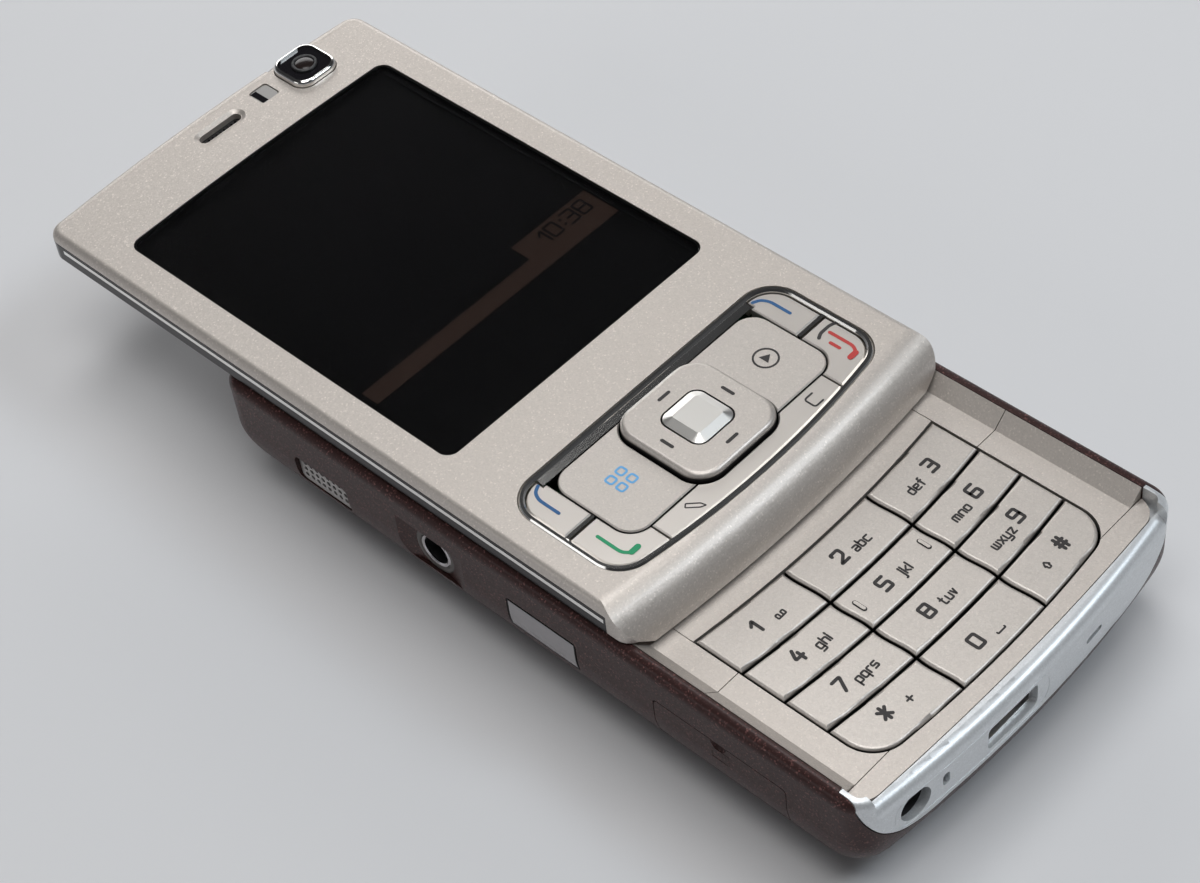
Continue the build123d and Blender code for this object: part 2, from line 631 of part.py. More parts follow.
def key_outline(row, column, gap=KEY_GAP, corner=KEY_CORNER):
    """Plan of one number key between its row arcs and its swaying column lines."""
    left = COLUMN_LINES[column] + gap / 2
    right = COLUMN_LINES[column + 1] - gap / 2
    with BuildSketch() as outline:
        with BuildLine():
            top = row_arc(row, left, right, -gap / 2)
            bottom = row_arc(row + 1, left, right, gap / 2)
            for x, inner in ((left, column > 0), (right, column < 2)):
                high = row_height(row, x) - gap / 2
                low = row_height(row + 1, x) + gap / 2
                sway = COLUMN_SWAY if inner else 0
                third = (high - low) / 3
                Bezier((x, high), (x - sway, high - third), (x + sway, low + third), (x, low))
        make_face()
        if row == 3 and column != 1:
            outside = -1 if column == 0 else 1
            low_corner = outline.vertices().group_by(Axis.X)[0 if outside < 0 else -1].sort_by(Axis.Y)[0]
            fillet(low_corner, corner)
    return outline.sketch


def keypad_region(gap):
    """The opening that all the number keys share."""
    with BuildSketch() as region:
        with BuildLine():
            row_arc(0, -KEYPAD_HALF - gap, KEYPAD_HALF + gap, gap)
            row_arc(4, -KEYPAD_HALF - gap, KEYPAD_HALF + gap, -gap)
            for x in (-KEYPAD_HALF - gap, KEYPAD_HALF + gap):
                Line((x, row_height(0, x) + gap), (x, row_height(4, x) - gap))
        make_face()
        fillet(region.vertices().group_by(Axis.Y)[0], KEY_CORNER + gap)
    return region.sketch


KEY_NAMES = [
    ["key_1", "key_2", "key_3"],
    ["key_4", "key_5", "key_6"],
    ["key_7", "key_8", "key_9"],
    ["key_star", "key_0", "key_hash"],
]
COLUMN_MIDDLES = [-(KEYPAD_HALF + COLUMN_LINE) / 2, 0, (KEYPAD_HALF + COLUMN_LINE) / 2]


def stem_place(row, column):
    """Middle of a key's stem, above its dome."""
    x = COLUMN_MIDDLES[column]
    y = (row_height(row, x) + row_height(row + 1, x)) / 2
    return (x, y + 1.0) if row == 3 else (x, y)


STEM_PLACES = [stem_place(row, column) for row in range(4) for column in range(3)]

for row, row_names in enumerate(KEY_NAMES):
    for column, key_name in enumerate(row_names):
        with BuildPart() as number_key:
            with BuildSketch(Plane.XY.offset(KEY_BOTTOM)):
                add(key_outline(row, column))
            extrude(amount=KEY_THICKNESS)
            fillet(number_key.faces().sort_by(Axis.Z)[-1].edges(), KEY_EDGE)
            with BuildSketch(Plane.XY.offset(STEM_BOTTOM)):
                with Locations(stem_place(row, column)):
                    Circle(STEM_RADIUS)
            extrude(amount=KEY_BOTTOM - STEM_BOTTOM)
        keep(number_key, key_name)

# ---- Media keys on the base's top strip ----
MEDIA_KEY_NAMES = ["rewind_key", "play_key", "stop_key", "forward_key"]
MEDIA_STEMS = [(MEDIA_KEY_PITCH * (n - 1.5), MEDIA_KEY_Y) for n in range(4)]

for number, key_name in enumerate(MEDIA_KEY_NAMES):
    with BuildPart() as strip_key:
        with BuildSketch(Plane.XY.offset(GUIDE_LEVEL)):
            with Locations(MEDIA_STEMS[number]):
                RectangleRounded(MEDIA_KEY_PITCH - MEDIA_KEY_GAP, MEDIA_KEY_DEPTH, 0.6)
        extrude(amount=DECK_LEVEL - GUIDE_LEVEL)
        chamfer(strip_key.faces().sort_by(Axis.Z)[-1].edges(), 0.15)
        with BuildSketch(Plane.XY.offset(STEM_BOTTOM)):
            with Locations(MEDIA_STEMS[number]):
                Circle(STEM_RADIUS)
        extrude(amount=GUIDE_LEVEL - STEM_BOTTOM)
    keep(strip_key, key_name)


with BuildPart() as main_circuit_board:
    with BuildSketch(Plane.XY.offset(BOARD_LEVEL)):
        add(bowed_outline(BOARD_HALF, BOARD_LOW_END, BOARD_HIGH_END, 0.8, BASE_BOW, 3.0))
        # room for the jack and the charging socket
        with Locations((-BOARD_HALF, JACK_Y)):
            jack_room = BOARD_HALF - BASE_WIDTH / 2 + JACK_LENGTH + 0.6
            Rectangle(2 * jack_room, 2 * JACK_BODY + 0.6, mode=Mode.SUBTRACT)
        with Locations((CHARGER_X, -BASE_LENGTH / 2)):
            Rectangle(2 * CHARGER_BODY + 0.4, 2 * (CHARGER_LENGTH + END_WALL + 2.0), mode=Mode.SUBTRACT)
    extrude(amount=BOARD_THICKNESS)
    # shield cans: one under the number keys, one over the upper half
    can_left = -BASE_WIDTH / 2 + JACK_LENGTH + CAN_ROOM
    can_right = BOARD_HALF - CAN_SIDE
    can_top = JACK_Y - JACK_BODY - CAN_ROOM
    add(block(can_left, can_right, can_top - LOWER_CAN_LENGTH, can_top, BOARD_LEVEL - CAN_DEPTH, BOARD_LEVEL))
    add(block(can_left, can_right, can_top - UPPER_CAN_LENGTH, can_top, BOARD_TOP, BOARD_TOP + UPPER_CAN_HEIGHT))
    # the memory card's holder under the board, open towards its door
    card_mouth = -BOARD_HALF + 0.2
    add(
        block(
            card_mouth, card_mouth + CARD_DEPTH, DOOR_Y - CARD_WIDTH / 2 - 0.6, DOOR_Y + CARD_WIDTH / 2 + 0.6,
            BOARD_LEVEL - CARD_HOLDER_HEIGHT, BOARD_LEVEL,
        )
    )
    add(
        block(
            card_mouth - 1, card_mouth + CARD_DEPTH - 0.6, DOOR_Y - CARD_WIDTH / 2, DOOR_Y + CARD_WIDTH / 2,
            BOARD_LEVEL - CARD_HOLDER_HEIGHT + 0.3, BOARD_LEVEL - 0.3,
        ),
        mode=Mode.SUBTRACT,
    )
    # the sheet with the metal domes of the keys
    with BuildSketch(Plane.XY.offset(BOARD_TOP)):
        with Locations((0, (ROW_LINES[0] + ROW_LINES[4]) / 2 + 1.6)):
            RectangleRounded(2 * KEYPAD_HALF - 7, ROW_LINES[0] - ROW_LINES[4] - 3.4, 1.5)
        with Locations((0, MEDIA_KEY_Y)):
            RectangleRounded(4 * MEDIA_KEY_PITCH - 2, 5, 1.0)
    extrude(amount=SHEET_THICKNESS)
    with BuildSketch(Plane.XY.offset(BOARD_TOP + SHEET_THICKNESS)):
        with Locations(STEM_PLACES + MEDIA_STEMS):
            Circle(DOME_RADIUS)
    extrude(amount=DOME_HEIGHT)
keep(main_circuit_board, "main_circuit_board")


# ---- Deck ----
def deck_section(thickness):
    """The deck across the phone: flat, with sides that slope up to the rim."""
    with BuildSketch(Plane.XZ) as section:
        with BuildLine():
            Polyline(
                (-FACET_FOOT, DECK_LEVEL), (FACET_FOOT, DECK_LEVEL), (DECK_HALF, RIM_HEIGHT),
                (DECK_HALF, DECK_LEVEL - thickness), (-DECK_HALF, DECK_LEVEL - thickness),
                (-DECK_HALF, RIM_HEIGHT), close=True,
            )
        make_face()
    return section.sketch


def deck_body(low, high):
    """The deck between two places along the phone."""
    with BuildPart() as body:
        with BuildSketch(Plane.XZ.offset(-high)):
            add(deck_section(DECK_THICKNESS))
        extrude(amount=high - low)
        top_end = BASE_LENGTH / 2 - END_WALL - SEAM
        with BuildSketch(Plane.XY.offset(DECK_UNDERSIDE)):
            add(bowed_outline(DECK_HALF, DECK_END, top_end, DECK_END_RISE, BASE_BOW, RIM_CORNER - 0.7))
        extrude(amount=RIM_HEIGHT, mode=Mode.INTERSECT)
    return body.part


def rail_slots(bottom, top):
    """The two long slots that the slide's rail shoes run in."""
    half = SHOE_STEM / 2 + SHOE_FIT
    with BuildPart() as slots:
        for side in (-1, 1):
            add(block(side * RAIL_X - half, side * RAIL_X + half, SLOT_LOW, SLOT_HIGH, bottom, top))
    return slots.part


def media_key_opening(bottom, top):
    width = 4 * MEDIA_KEY_PITCH + MEDIA_KEY_GAP
    return rounded_slab(0, MEDIA_KEY_Y, width, MEDIA_KEY_DEPTH + 2 * FIT, 0.8, bottom, top)


def flex_window(bottom, top):
    half = FLEX_WIDTH / 2 + FLEX_ROOM
    return block(-half, half, FLEX_WINDOW_Y - FLEX_ROOM, FLEX_WINDOW_Y + FLEX_ROOM, bottom, top)


with BuildPart() as deck_plate:
    add(deck_body(DECK_SEAM, BASE_LENGTH / 2))
    side_x = KEYPAD_HALF + SEAM
    add(block(-side_x, side_x, -FAR, BAND_TOP, 0, RIM_HEIGHT + 1), mode=Mode.SUBTRACT)
    add(rail_slots(DECK_UNDERSIDE - 1, RIM_HEIGHT), mode=Mode.SUBTRACT)
    add(media_key_opening(DECK_UNDERSIDE - 1, RIM_HEIGHT), mode=Mode.SUBTRACT)
    add(flex_window(DECK_UNDERSIDE - 1, RIM_HEIGHT), mode=Mode.SUBTRACT)
keep(deck_plate, "deck_plate")

# Four separate trim pieces: two sides, the strip below the keys and the band above them.
with BuildPart() as keypad_trim:
    add(deck_body(STRIP_SEAM + SEAM / 2, DECK_SEAM - SEAM))
    add(deck_body(-BASE_LENGTH / 2, STRIP_SEAM - SEAM / 2))
    add(slab(keypad_region(SEAM), 0, RIM_HEIGHT + 1), mode=Mode.SUBTRACT)
    # the strip below the keys has no sloping ends
    add(block(-FAR, FAR, -FAR, STRIP_SEAM, DECK_LEVEL, RIM_HEIGHT + 1), mode=Mode.SUBTRACT)
    # its underside clears the sockets
    band = block(-KEYPAD_HALF, KEYPAD_HALF, -FAR, BAND_TOP - SEAM, DECK_UNDERSIDE, DECK_LEVEL)
    band_cut = slab(keypad_region(SEAM), DECK_UNDERSIDE, DECK_LEVEL)
    lower_cut = block(-FAR, FAR, -FAR, row_height(0, 0) - 0.2 * TOP_ROW_DEPTH, 0, RIM_HEIGHT)
    add(band - band_cut - lower_cut)
keep(keypad_trim, "keypad_trim")

with BuildPart() as slide_guide_plate:
    with BuildSketch(Plane.XY.offset(GUIDE_LEVEL)):
        add(bowed_outline(GUIDE_HALF, GUIDE_BOTTOM, GUIDE_TOP, 0.2, BASE_BOW, 1.5))
    extrude(amount=GUIDE_THICKNESS)
    add(rail_slots(GUIDE_LEVEL - 1, GUIDE_LEVEL + 1), mode=Mode.SUBTRACT)
    add(media_key_opening(GUIDE_LEVEL - 1, GUIDE_LEVEL + 1), mode=Mode.SUBTRACT)
    add(flex_window(GUIDE_LEVEL - 1, GUIDE_LEVEL + 1), mode=Mode.SUBTRACT)
    add(slab(keypad_region(SEAM), GUIDE_LEVEL - 1, GUIDE_LEVEL + 1), mode=Mode.SUBTRACT)
    # folded feet that stand on the circuit board
    foot_x = RAIL_X - 3.2
    foot_half = GUIDE_FOOT_LENGTH / 2
    for side in (-1, 1):
        for foot_y in (KEYPAD_TOP + 12.05, GUIDE_TOP - 17.9):
            middle = side * foot_x
            add(block(middle - 0.3, middle + 0.3, foot_y - foot_half, foot_y + foot_half, BOARD_TOP, GUIDE_LEVEL))
keep(slide_guide_plate, "slide_guide_plate")

# ---- Back plate of the slide, with the two rail shoes ----
with BuildPart() as slide_carriage:
    plate_low = on_slide(CHASSIS_END + SEAM)
    plate_high = on_slide(SLIDE_LENGTH / 2 - 2.2)
    with BuildSketch(Plane.XY.offset(PLATE_BOTTOM_LEVEL)):
        add(bowed_outline(PLATE_HALF, plate_low, plate_high, LIP_BOW, SLIDE_TOP_BOW, 2.0))
    extrude(amount=PLATE_THICKNESS)
    half = FLEX_WIDTH / 2 + FLEX_ROOM
    add(
        block(
            -half, half, FLEX_BEND_Y - FLEX_ROOM, FLEX_SLIDE_Y + FLEX_ROOM,
            PLATE_BOTTOM_LEVEL - 1, PLATE_BOTTOM_LEVEL + 1,
        ),
        mode=Mode.SUBTRACT,
    )
    shoe_low = SHOE_Y - SHOE_LENGTH / 2
    shoe_high = SHOE_Y + SHOE_LENGTH / 2
    for side in (-1, 1):
        for width, bottom, top in (
            (SHOE_STEM, SHOE_HEAD_TOP, PLATE_BOTTOM_LEVEL), (SHOE_HEAD, SHOE_HEAD_BOTTOM, SHOE_HEAD_TOP)
        ):
            middle = side * RAIL_X
            add(block(middle - width / 2, middle + width / 2, shoe_low, shoe_high, bottom, top))
keep(slide_carriage, "slide_carriage")

# ---- Flex cable between the base and the slide, as the half on each of them ----
flex_low = KEY_TOP + FLEX_FIT + FLEX_THICKNESS / 2
flex_high = PLATE_BOTTOM_LEVEL + PLATE_THICKNESS - 0.05 - FLEX_THICKNESS / 2
flex_bend = (flex_high - flex_low) / 2
bend_end = FLEX_BEND_Y + flex_bend


def leg(y_low, y_high, z_low, z_high):
    """One straight stretch of the flex."""
    return block(-FLEX_WIDTH / 2, FLEX_WIDTH / 2, y_low, y_high, z_low, z_high)


half_flex = FLEX_THICKNESS / 2
with BuildPart() as flex_lower:
    add(leg(FLEX_WINDOW_Y - half_flex, FLEX_WINDOW_Y + half_flex, BOARD_TOP, flex_low + half_flex))
    add(leg(bend_end + SEAM, FLEX_WINDOW_Y, flex_low - half_flex, flex_low + half_flex))
keep(flex_lower, "flex_lower")

with BuildPart() as flex_upper:
    with BuildSketch(Plane.YZ.offset(-FLEX_WIDTH / 2)):
        with Locations((bend_end, (flex_low + flex_high) / 2)):
            Circle(flex_bend + half_flex)
            Circle(flex_bend - half_flex, mode=Mode.SUBTRACT)
            Rectangle(2, 2, align=(Align.MIN, Align.CENTER), mode=Mode.SUBTRACT)
    extrude(amount=FLEX_WIDTH)
    add(leg(bend_end, FLEX_SLIDE_Y, flex_high - half_flex, flex_high + half_flex))
    add(leg(FLEX_SLIDE_Y - half_flex, FLEX_SLIDE_Y + half_flex, flex_high, SLIDE_BOARD_LEVEL))
keep(flex_upper, "flex_upper")


# ---- Slide chassis ----
def slide_outline(inset):
    """Plan of the slide, drawn in by an inset."""
    return bowed_outline(
        SLIDE_WIDTH / 2 - inset, on_slide(-SLIDE_LENGTH / 2 + inset), on_slide(SLIDE_LENGTH / 2 - inset),
        LIP_BOW, SLIDE_TOP_BOW, max(SLIDE_CORNER - inset, 0.5),
    )


def slide_section(inset, top):
    """The slide across the phone: its lower edges slope to clear the deck's sides."""
    half = SLIDE_WIDTH / 2 - inset
    floor = CHASSIS_FLOOR + (CHASSIS_SHEET if inset else 0)
    side = CHASSIS_SIDE + (CHASSIS_SHEET if inset else 0)
    with BuildSketch(Plane.XZ) as section:
        with BuildLine():
            Polyline(
                (-half, top), (half, top), (half, side), (DECK_HALF - 0.4 - inset / 2, side),
                (FACET_FOOT - 0.5 - inset / 2, floor), (-FACET_FOOT + 0.5 + inset / 2, floor),
                (-DECK_HALF + 0.4 + inset / 2, side), (-half, side), close=True,
            )
        make_face()
    return section.sketch


def slide_bar(inset, top, low, high):
    """A length of the slide's cross-section."""
    with BuildPart() as bar:
        with BuildSketch(Plane.XZ.offset(-high)):
            add(slide_section(inset, top))
        extrude(amount=high - low)
    return bar.part


with BuildPart() as slide_chassis:
    add(slide_bar(0, COVER_SEAM - SEAM, on_slide(CHASSIS_END), on_slide(SLIDE_LENGTH / 2)))
    with BuildSketch(Plane.XY):
        add(slide_outline(0))
    extrude(amount=FACE_HEIGHT, mode=Mode.INTERSECT)
    hollow_end = SLIDE_LENGTH / 2 - CHASSIS_WALL - SLIDE_TOP_BOW
    add(
        slide_bar(CHASSIS_WALL, FACE_HEIGHT, on_slide(-SLIDE_LENGTH / 2), on_slide(hollow_end)),
        mode=Mode.SUBTRACT,
    )
    add(
        block(
            -FLEX_WIDTH / 2 - 0.3, FLEX_WIDTH / 2 + 0.3, FLEX_SLIDE_Y - 0.4, FLEX_SLIDE_Y + 0.4,
            CHASSIS_FLOOR - 1, CHASSIS_FLOOR + 1.5,
        ),
        mode=Mode.SUBTRACT,
    )
keep(slide_chassis, "slide_chassis")


# ---- Control cluster outlines ----
def cluster_outline(inset):
    return bowed_outline(
        CLUSTER_HALF - inset, on_slide(CLUSTER_BOTTOM + inset), on_slide(CLUSTER_TOP - inset),
        CLUSTER_RISE, NEARLY_STRAIGHT, CLUSTER_CORNER - inset,
    )


def ring_outline(grow):
    with BuildSketch() as outline:
        with Locations((0, on_slide(RING_MIDDLE))):
            RectangleRounded(RING_WIDTH + 2 * grow, RING_WIDTH + 2 * grow, RING_CORNER + grow)
    return outline.sketch


def plate_outline(side, grow):
    """The wide key on one side of the ring, cut back from the ring."""
    inner = RING_WIDTH / 2 - RING_CORNER
    middle = side * (PLATE_LEFT + inner) / 2
    depth = PLATE_TOP - PLATE_BOTTOM + 2 * grow
    with BuildSketch() as outline:
        with Locations((middle, on_slide((PLATE_TOP + PLATE_BOTTOM) / 2))):
            RectangleRounded(PLATE_LEFT - inner + 2 * grow, depth, PLATE_CORNER + grow)
        with Locations((middle - side * PLATE_CORNER, on_slide((PLATE_TOP + PLATE_BOTTOM) / 2))):
            Rectangle(PLATE_LEFT - inner - 2 * PLATE_CORNER, depth)
    return outline.sketch


def inner_region(x_low, x_high, y_low, y_high):
    """Part of the well inside the chrome bezel."""
    with BuildSketch() as region:
        add(cluster_outline(BEZEL_RIM + CONTROL_GAP / 2))
        with Locations(((x_low + x_high) / 2, on_slide((y_low + y_high) / 2))):
            Rectangle(x_high - x_low, y_high - y_low, mode=Mode.INTERSECT)
    return region.sketch


def control_key(outline, stems, top=CONTROL_KEY_TOP, thickness=CONTROL_KEY_THICKNESS):
    """A control key's plate with its softened edge and its stems."""
    with BuildPart() as key:
        with BuildSketch(Plane.XY.offset(top - thickness)):
            add(outline)
        extrude(amount=thickness)
        chamfer(key.faces().sort_by(Axis.Z)[-1].edges(), 0.15)
        with BuildSketch(Plane.XY.offset(CONTROL_STEM_BOTTOM)):
            with Locations(*[(x, on_slide(y)) for x, y in stems]):
                Circle(CONTROL_STEM)
        extrude(amount=top - thickness - CONTROL_STEM_BOTTOM)
    return key.part


with BuildPart() as control_bezel:
    with BuildSketch(Plane.XY.offset(BEZEL_TOP - BEZEL_DEPTH)):
        add(cluster_outline(0))
        add(cluster_outline(BEZEL_RIM), mode=Mode.SUBTRACT)
    extrude(amount=BEZEL_DEPTH)
    chamfer(control_bezel.faces().sort_by(Axis.Z)[-1].edges(), 0.2)
    # the wide sloping band above the plates, and the bars between the side keys
    band_top = on_slide(CLUSTER_TOP - BEZEL_RIM + 0.2)
    band_low = on_slide(PLATE_TOP + CONTROL_GAP)
    with BuildSketch(Plane.YZ.offset(-BEZEL_BAND_HALF)):
        with BuildLine():
            Polyline(
                (band_low, BEZEL_TOP - BEZEL_DEPTH), (band_low, CONTROL_KEY_TOP - 0.2),
                (band_top, BEZEL_TOP - 0.25), (band_top, BEZEL_TOP - BEZEL_DEPTH), close=True,
            )
        make_face()
    extrude(amount=2 * BEZEL_BAND_HALF)
    for side in (-1, 1):
        bar_outer = CLUSTER_HALF - BEZEL_RIM / 2
        bar_inner = PLATE_LEFT + CONTROL_GAP
        add(
            block(
                min(side * bar_outer, side * bar_inner), max(side * bar_outer, side * bar_inner),
                on_slide(BAR_MIDDLE - BAR_WIDTH / 2), on_slide(BAR_MIDDLE + BAR_WIDTH / 2),
                BEZEL_TOP - BEZEL_DEPTH, CONTROL_KEY_TOP,
            )
        )
    with BuildSketch(Plane.XY.offset(BEZEL_TOP - BEZEL_DEPTH - 1)):
        add(ring_outline(CONTROL_GAP))
    extrude(amount=BEZEL_DEPTH + 2, mode=Mode.SUBTRACT)
keep(control_bezel, "control_bezel")

bar_top = BAR_MIDDLE + BAR_WIDTH / 2 + CONTROL_GAP
bar_low = BAR_MIDDLE - BAR_WIDTH / 2 - CONTROL_GAP
side_inner = PLATE_LEFT + CONTROL_GAP
for side, soft_name, hook_name in ((-1, "left_soft_key", "call_key"), (1, "right_soft_key", "end_key")):
    soft_low, soft_high = sorted((side * side_inner, side * CLUSTER_HALF))
    with BuildPart() as soft_key:
        soft = inner_region(soft_low, soft_high, bar_top, CLUSTER_TOP)
        band_edge = BEZEL_BAND_HALF + CONTROL_GAP
        with BuildSketch() as soft_outline:
            add(soft)
            with Locations((0, on_slide(CLUSTER_TOP))):
                Rectangle(2 * band_edge, 2 * (CLUSTER_TOP - PLATE_TOP - CONTROL_GAP + 0.22), mode=Mode.SUBTRACT)
        add(control_key(soft_outline.sketch, [(side * SIDE_STEM_X, SOFT_STEM_Y)]))
    keep(soft_key, soft_name)

    hook_low, hook_high = sorted((side * (STRIP_END + CONTROL_GAP), side * CLUSTER_HALF))
    with BuildPart() as hook_key:
        with BuildSketch() as hook_outline:
            add(inner_region(hook_low, hook_high, CLUSTER_BOTTOM, bar_low))
            add(plate_outline(side, CONTROL_GAP), mode=Mode.SUBTRACT)
        add(control_key(hook_outline.sketch, [(side * SIDE_STEM_X, HOOK_STEM_Y)]))
    keep(hook_key, hook_name)

for side, key_name in ((-1, "menu_key"), (1, "media_key")):
    with BuildPart() as wide_key:
        with BuildSketch() as wide_outline:
            add(plate_outline(side, 0))
            add(ring_outline(CONTROL_GAP), mode=Mode.SUBTRACT)
        add(control_key(wide_outline.sketch, [(side * WIDE_STEM_X, WIDE_STEM_Y)]))
    keep(wide_key, key_name)

with BuildPart() as edit_clear_bar:
    with BuildSketch() as bar_outline:
        add(inner_region(-STRIP_END, STRIP_END, CLUSTER_BOTTOM, PLATE_BOTTOM - CONTROL_GAP))
        add(ring_outline(CONTROL_GAP), mode=Mode.SUBTRACT)
    add(control_key(bar_outline.sketch, [(-BAR_STEM_X, BAR_STEM_Y), (BAR_STEM_X, BAR_STEM_Y)]))
keep(edit_clear_bar, "edit_clear_bar")

# ---- Direction ring on its gimbal, and the select key in its middle ----
ring_bottom = RING_TOP - RING_THICKNESS
gimbal_top = ring_bottom - RING_TILT_ROOM
select_opening = SELECT_WIDTH + 2 * CONTROL_GAP

with BuildPart() as navigation_ring:
    with BuildSketch(Plane.XY.offset(ring_bottom)):
        add(ring_outline(0))
    extrude(amount=RING_THICKNESS)
    fillet(navigation_ring.faces().sort_by(Axis.Z)[-1].edges(), 0.7)
    add(
        rounded_slab(
            0, on_slide(RING_MIDDLE), select_opening, select_opening, SELECT_CORNER + CONTROL_GAP,
            ring_bottom - 1, RING_TOP + 1,
        ),
        mode=Mode.SUBTRACT,
    )
keep(navigation_ring, "navigation_ring")

with BuildPart() as nav_gimbal:
    with BuildSketch(Plane.XY.offset(gimbal_top - GIMBAL_THICKNESS)):
        with Locations((0, on_slide(RING_MIDDLE))):
            RectangleRounded(GIMBAL_WIDTH, GIMBAL_WIDTH, 2.0)
            RectangleRounded(select_opening, select_opening, SELECT_CORNER, mode=Mode.SUBTRACT)
    extrude(amount=GIMBAL_THICKNESS)
keep(nav_gimbal, "nav_gimbal")

with BuildPart() as select_key:
    with BuildSketch(Plane.XY.offset(ring_bottom)):
        with Locations((0, on_slide(RING_MIDDLE))):
            RectangleRounded(SELECT_WIDTH, SELECT_WIDTH, SELECT_CORNER)
    extrude(amount=SELECT_TOP - ring_bottom)
    chamfer(select_key.faces().sort_by(Axis.Z)[-1].edges(), 0.45, SELECT_BEVEL)
    with BuildSketch(Plane.XY.offset(CONTROL_STEM_BOTTOM)):
        with Locations((0, on_slide(RING_MIDDLE))):
            Circle(STEM_RADIUS)
    extrude(amount=ring_bottom - CONTROL_STEM_BOTTOM)
keep(select_key, "select_key")

# ---- Front cover ----
def window_outline(grow):
    low = on_slide(WINDOW_MIDDLE - WINDOW_LENGTH / 2 - grow)
    high = on_slide(WINDOW_MIDDLE + WINDOW_LENGTH / 2 + grow)
    return bowed_outline(WINDOW_WIDTH / 2 + grow, low, high, NEARLY_STRAIGHT, 0.4, WINDOW_CORNER)


def camera_outline(inset):
    with BuildSketch() as outline:
        with Locations((CAMERA_X, on_slide(CAMERA_Y))):
            RectangleRounded(CAMERA_WIDTH - 2 * inset, CAMERA_WIDTH - 2 * inset, CAMERA_CORNER - inset)
    return outline.sketch


def sensor_outline(grow):
    with BuildSketch() as outline:
        with Locations((SENSOR_X, on_slide(SENSOR_Y))):
            RectangleRounded(SENSOR_WIDTH + 2 * grow, SENSOR_WIDTH + 2 * grow, 0.5)
    return outline.sketch


with BuildPart() as slide_front_cover:
    with BuildSketch(Plane.XY.offset(PLATE_BOTTOM_LEVEL)):
        add(slide_outline(0))
    extrude(amount=FACE_HEIGHT - PLATE_BOTTOM_LEVEL)
    fillet(slide_front_cover.faces().sort_by(Axis.Z)[-1].edges(), EDGE_ROUND)
    # the big rounding of the lip follows the bow of the lower end
    add(
        end_rounding(on_slide(-SLIDE_LENGTH / 2), -1, SLIDE_BOW_RADIUS, FACE_HEIGHT, LIP_ROUND, 0.3),
        mode=Mode.SUBTRACT,
    )
    # its ends rise over the deck's sloping sides
    with BuildSketch(Plane.XZ.offset(-FAR)):
        with BuildLine():
            Polyline(
                (-FACET_FOOT + 0.6, PLATE_BOTTOM_LEVEL), (-DECK_HALF + 0.4, CHASSIS_SIDE),
                (-SLIDE_WIDTH, CHASSIS_SIDE), (-SLIDE_WIDTH, 0), (SLIDE_WIDTH, 0), (SLIDE_WIDTH, CHASSIS_SIDE),
                (DECK_HALF - 0.4, CHASSIS_SIDE), (FACET_FOOT - 0.6, PLATE_BOTTOM_LEVEL), close=True,
            )
        make_face()
    extrude(amount=2 * FAR, mode=Mode.SUBTRACT)
    # room for the chassis, and a hollow behind the lip
    add(block(-FAR, FAR, on_slide(CHASSIS_END), FAR + SLIDE_OPEN, 0, COVER_SEAM), mode=Mode.SUBTRACT)
    add(
        block(
            -LIP_HOLLOW_HALF, LIP_HOLLOW_HALF, on_slide(CHASSIS_END - LIP_HOLLOW_DEPTH), on_slide(CHASSIS_END),
            CHASSIS_FLOOR + CHASSIS_SHEET, BEZEL_TOP - BEZEL_DEPTH - 0.3,
        ),
        mode=Mode.SUBTRACT,
    )
    for outline in (cluster_outline(-SEAM), window_outline(SEAM), camera_outline(-SEAM), sensor_outline(SEAM)):
        add(slab(outline, BEZEL_TOP - BEZEL_DEPTH - SEAM, FACE_HEIGHT + 1), mode=Mode.SUBTRACT)
    with BuildSketch(Plane.XY.offset(COVER_SEAM - 1)):
        with Locations((0, on_slide(EARPIECE_Y))):
            SlotOverall(EARPIECE_WIDTH, EARPIECE_DEPTH)
    extrude(amount=FACE_HEIGHT, mode=Mode.SUBTRACT)
    with BuildSketch(Plane.XY.offset(FACE_HEIGHT)):
        with Locations((0, on_slide(EARPIECE_Y))):
            SlotOverall(EARPIECE_WIDTH + 2 * DISH_REACH, EARPIECE_DEPTH + 2 * DISH_REACH)
    extrude(amount=-DISH_DEPTH, taper=60, mode=Mode.SUBTRACT)
keep(slide_front_cover, "slide_front_cover")

with BuildPart() as display_window:
    add(slab(window_outline(0), WINDOW_BOTTOM, WINDOW_TOP))
    chamfer(display_window.faces().sort_by(Axis.Z)[-1].edges(), 0.12)
keep(display_window, "display_window")

with BuildPart() as display_panel:
    add(
        rounded_slab(
            0, on_slide(WINDOW_MIDDLE), WINDOW_WIDTH - PANEL_MARGIN, WINDOW_LENGTH - PANEL_MARGIN, 1.0,
            SLIDE_BOARD_TOP, WINDOW_BOTTOM - PANEL_GAP,
        )
    )
keep(display_panel, "display_panel")

with BuildPart() as light_sensor_window:
    add(slab(sensor_outline(0), WINDOW_BOTTOM, WINDOW_TOP))
keep(light_sensor_window, "light_sensor_window")

with BuildPart() as front_camera_bezel:
    add(slab(camera_outline(0), COVER_SEAM + SEAM, CAMERA_TOP))
    fillet(front_camera_bezel.faces().sort_by(Axis.Z)[-1].edges(), 0.5)
    add(slab(camera_outline(CAMERA_RIM), 0, CAMERA_TOP + 1), mode=Mode.SUBTRACT)
keep(front_camera_bezel, "front_camera_bezel")

with BuildPart() as front_camera_window:
    add(slab(camera_outline(CAMERA_RIM + 0.02), COVER_SEAM + SEAM, CAMERA_TOP - 0.35))
    with Locations((CAMERA_X, on_slide(CAMERA_Y), CAMERA_TOP - 0.35)):
        Cylinder(FRONT_LENS_RADIUS, 0.25, align=(Align.CENTER, Align.CENTER, Align.MIN))
keep(front_camera_window, "front_camera_window")

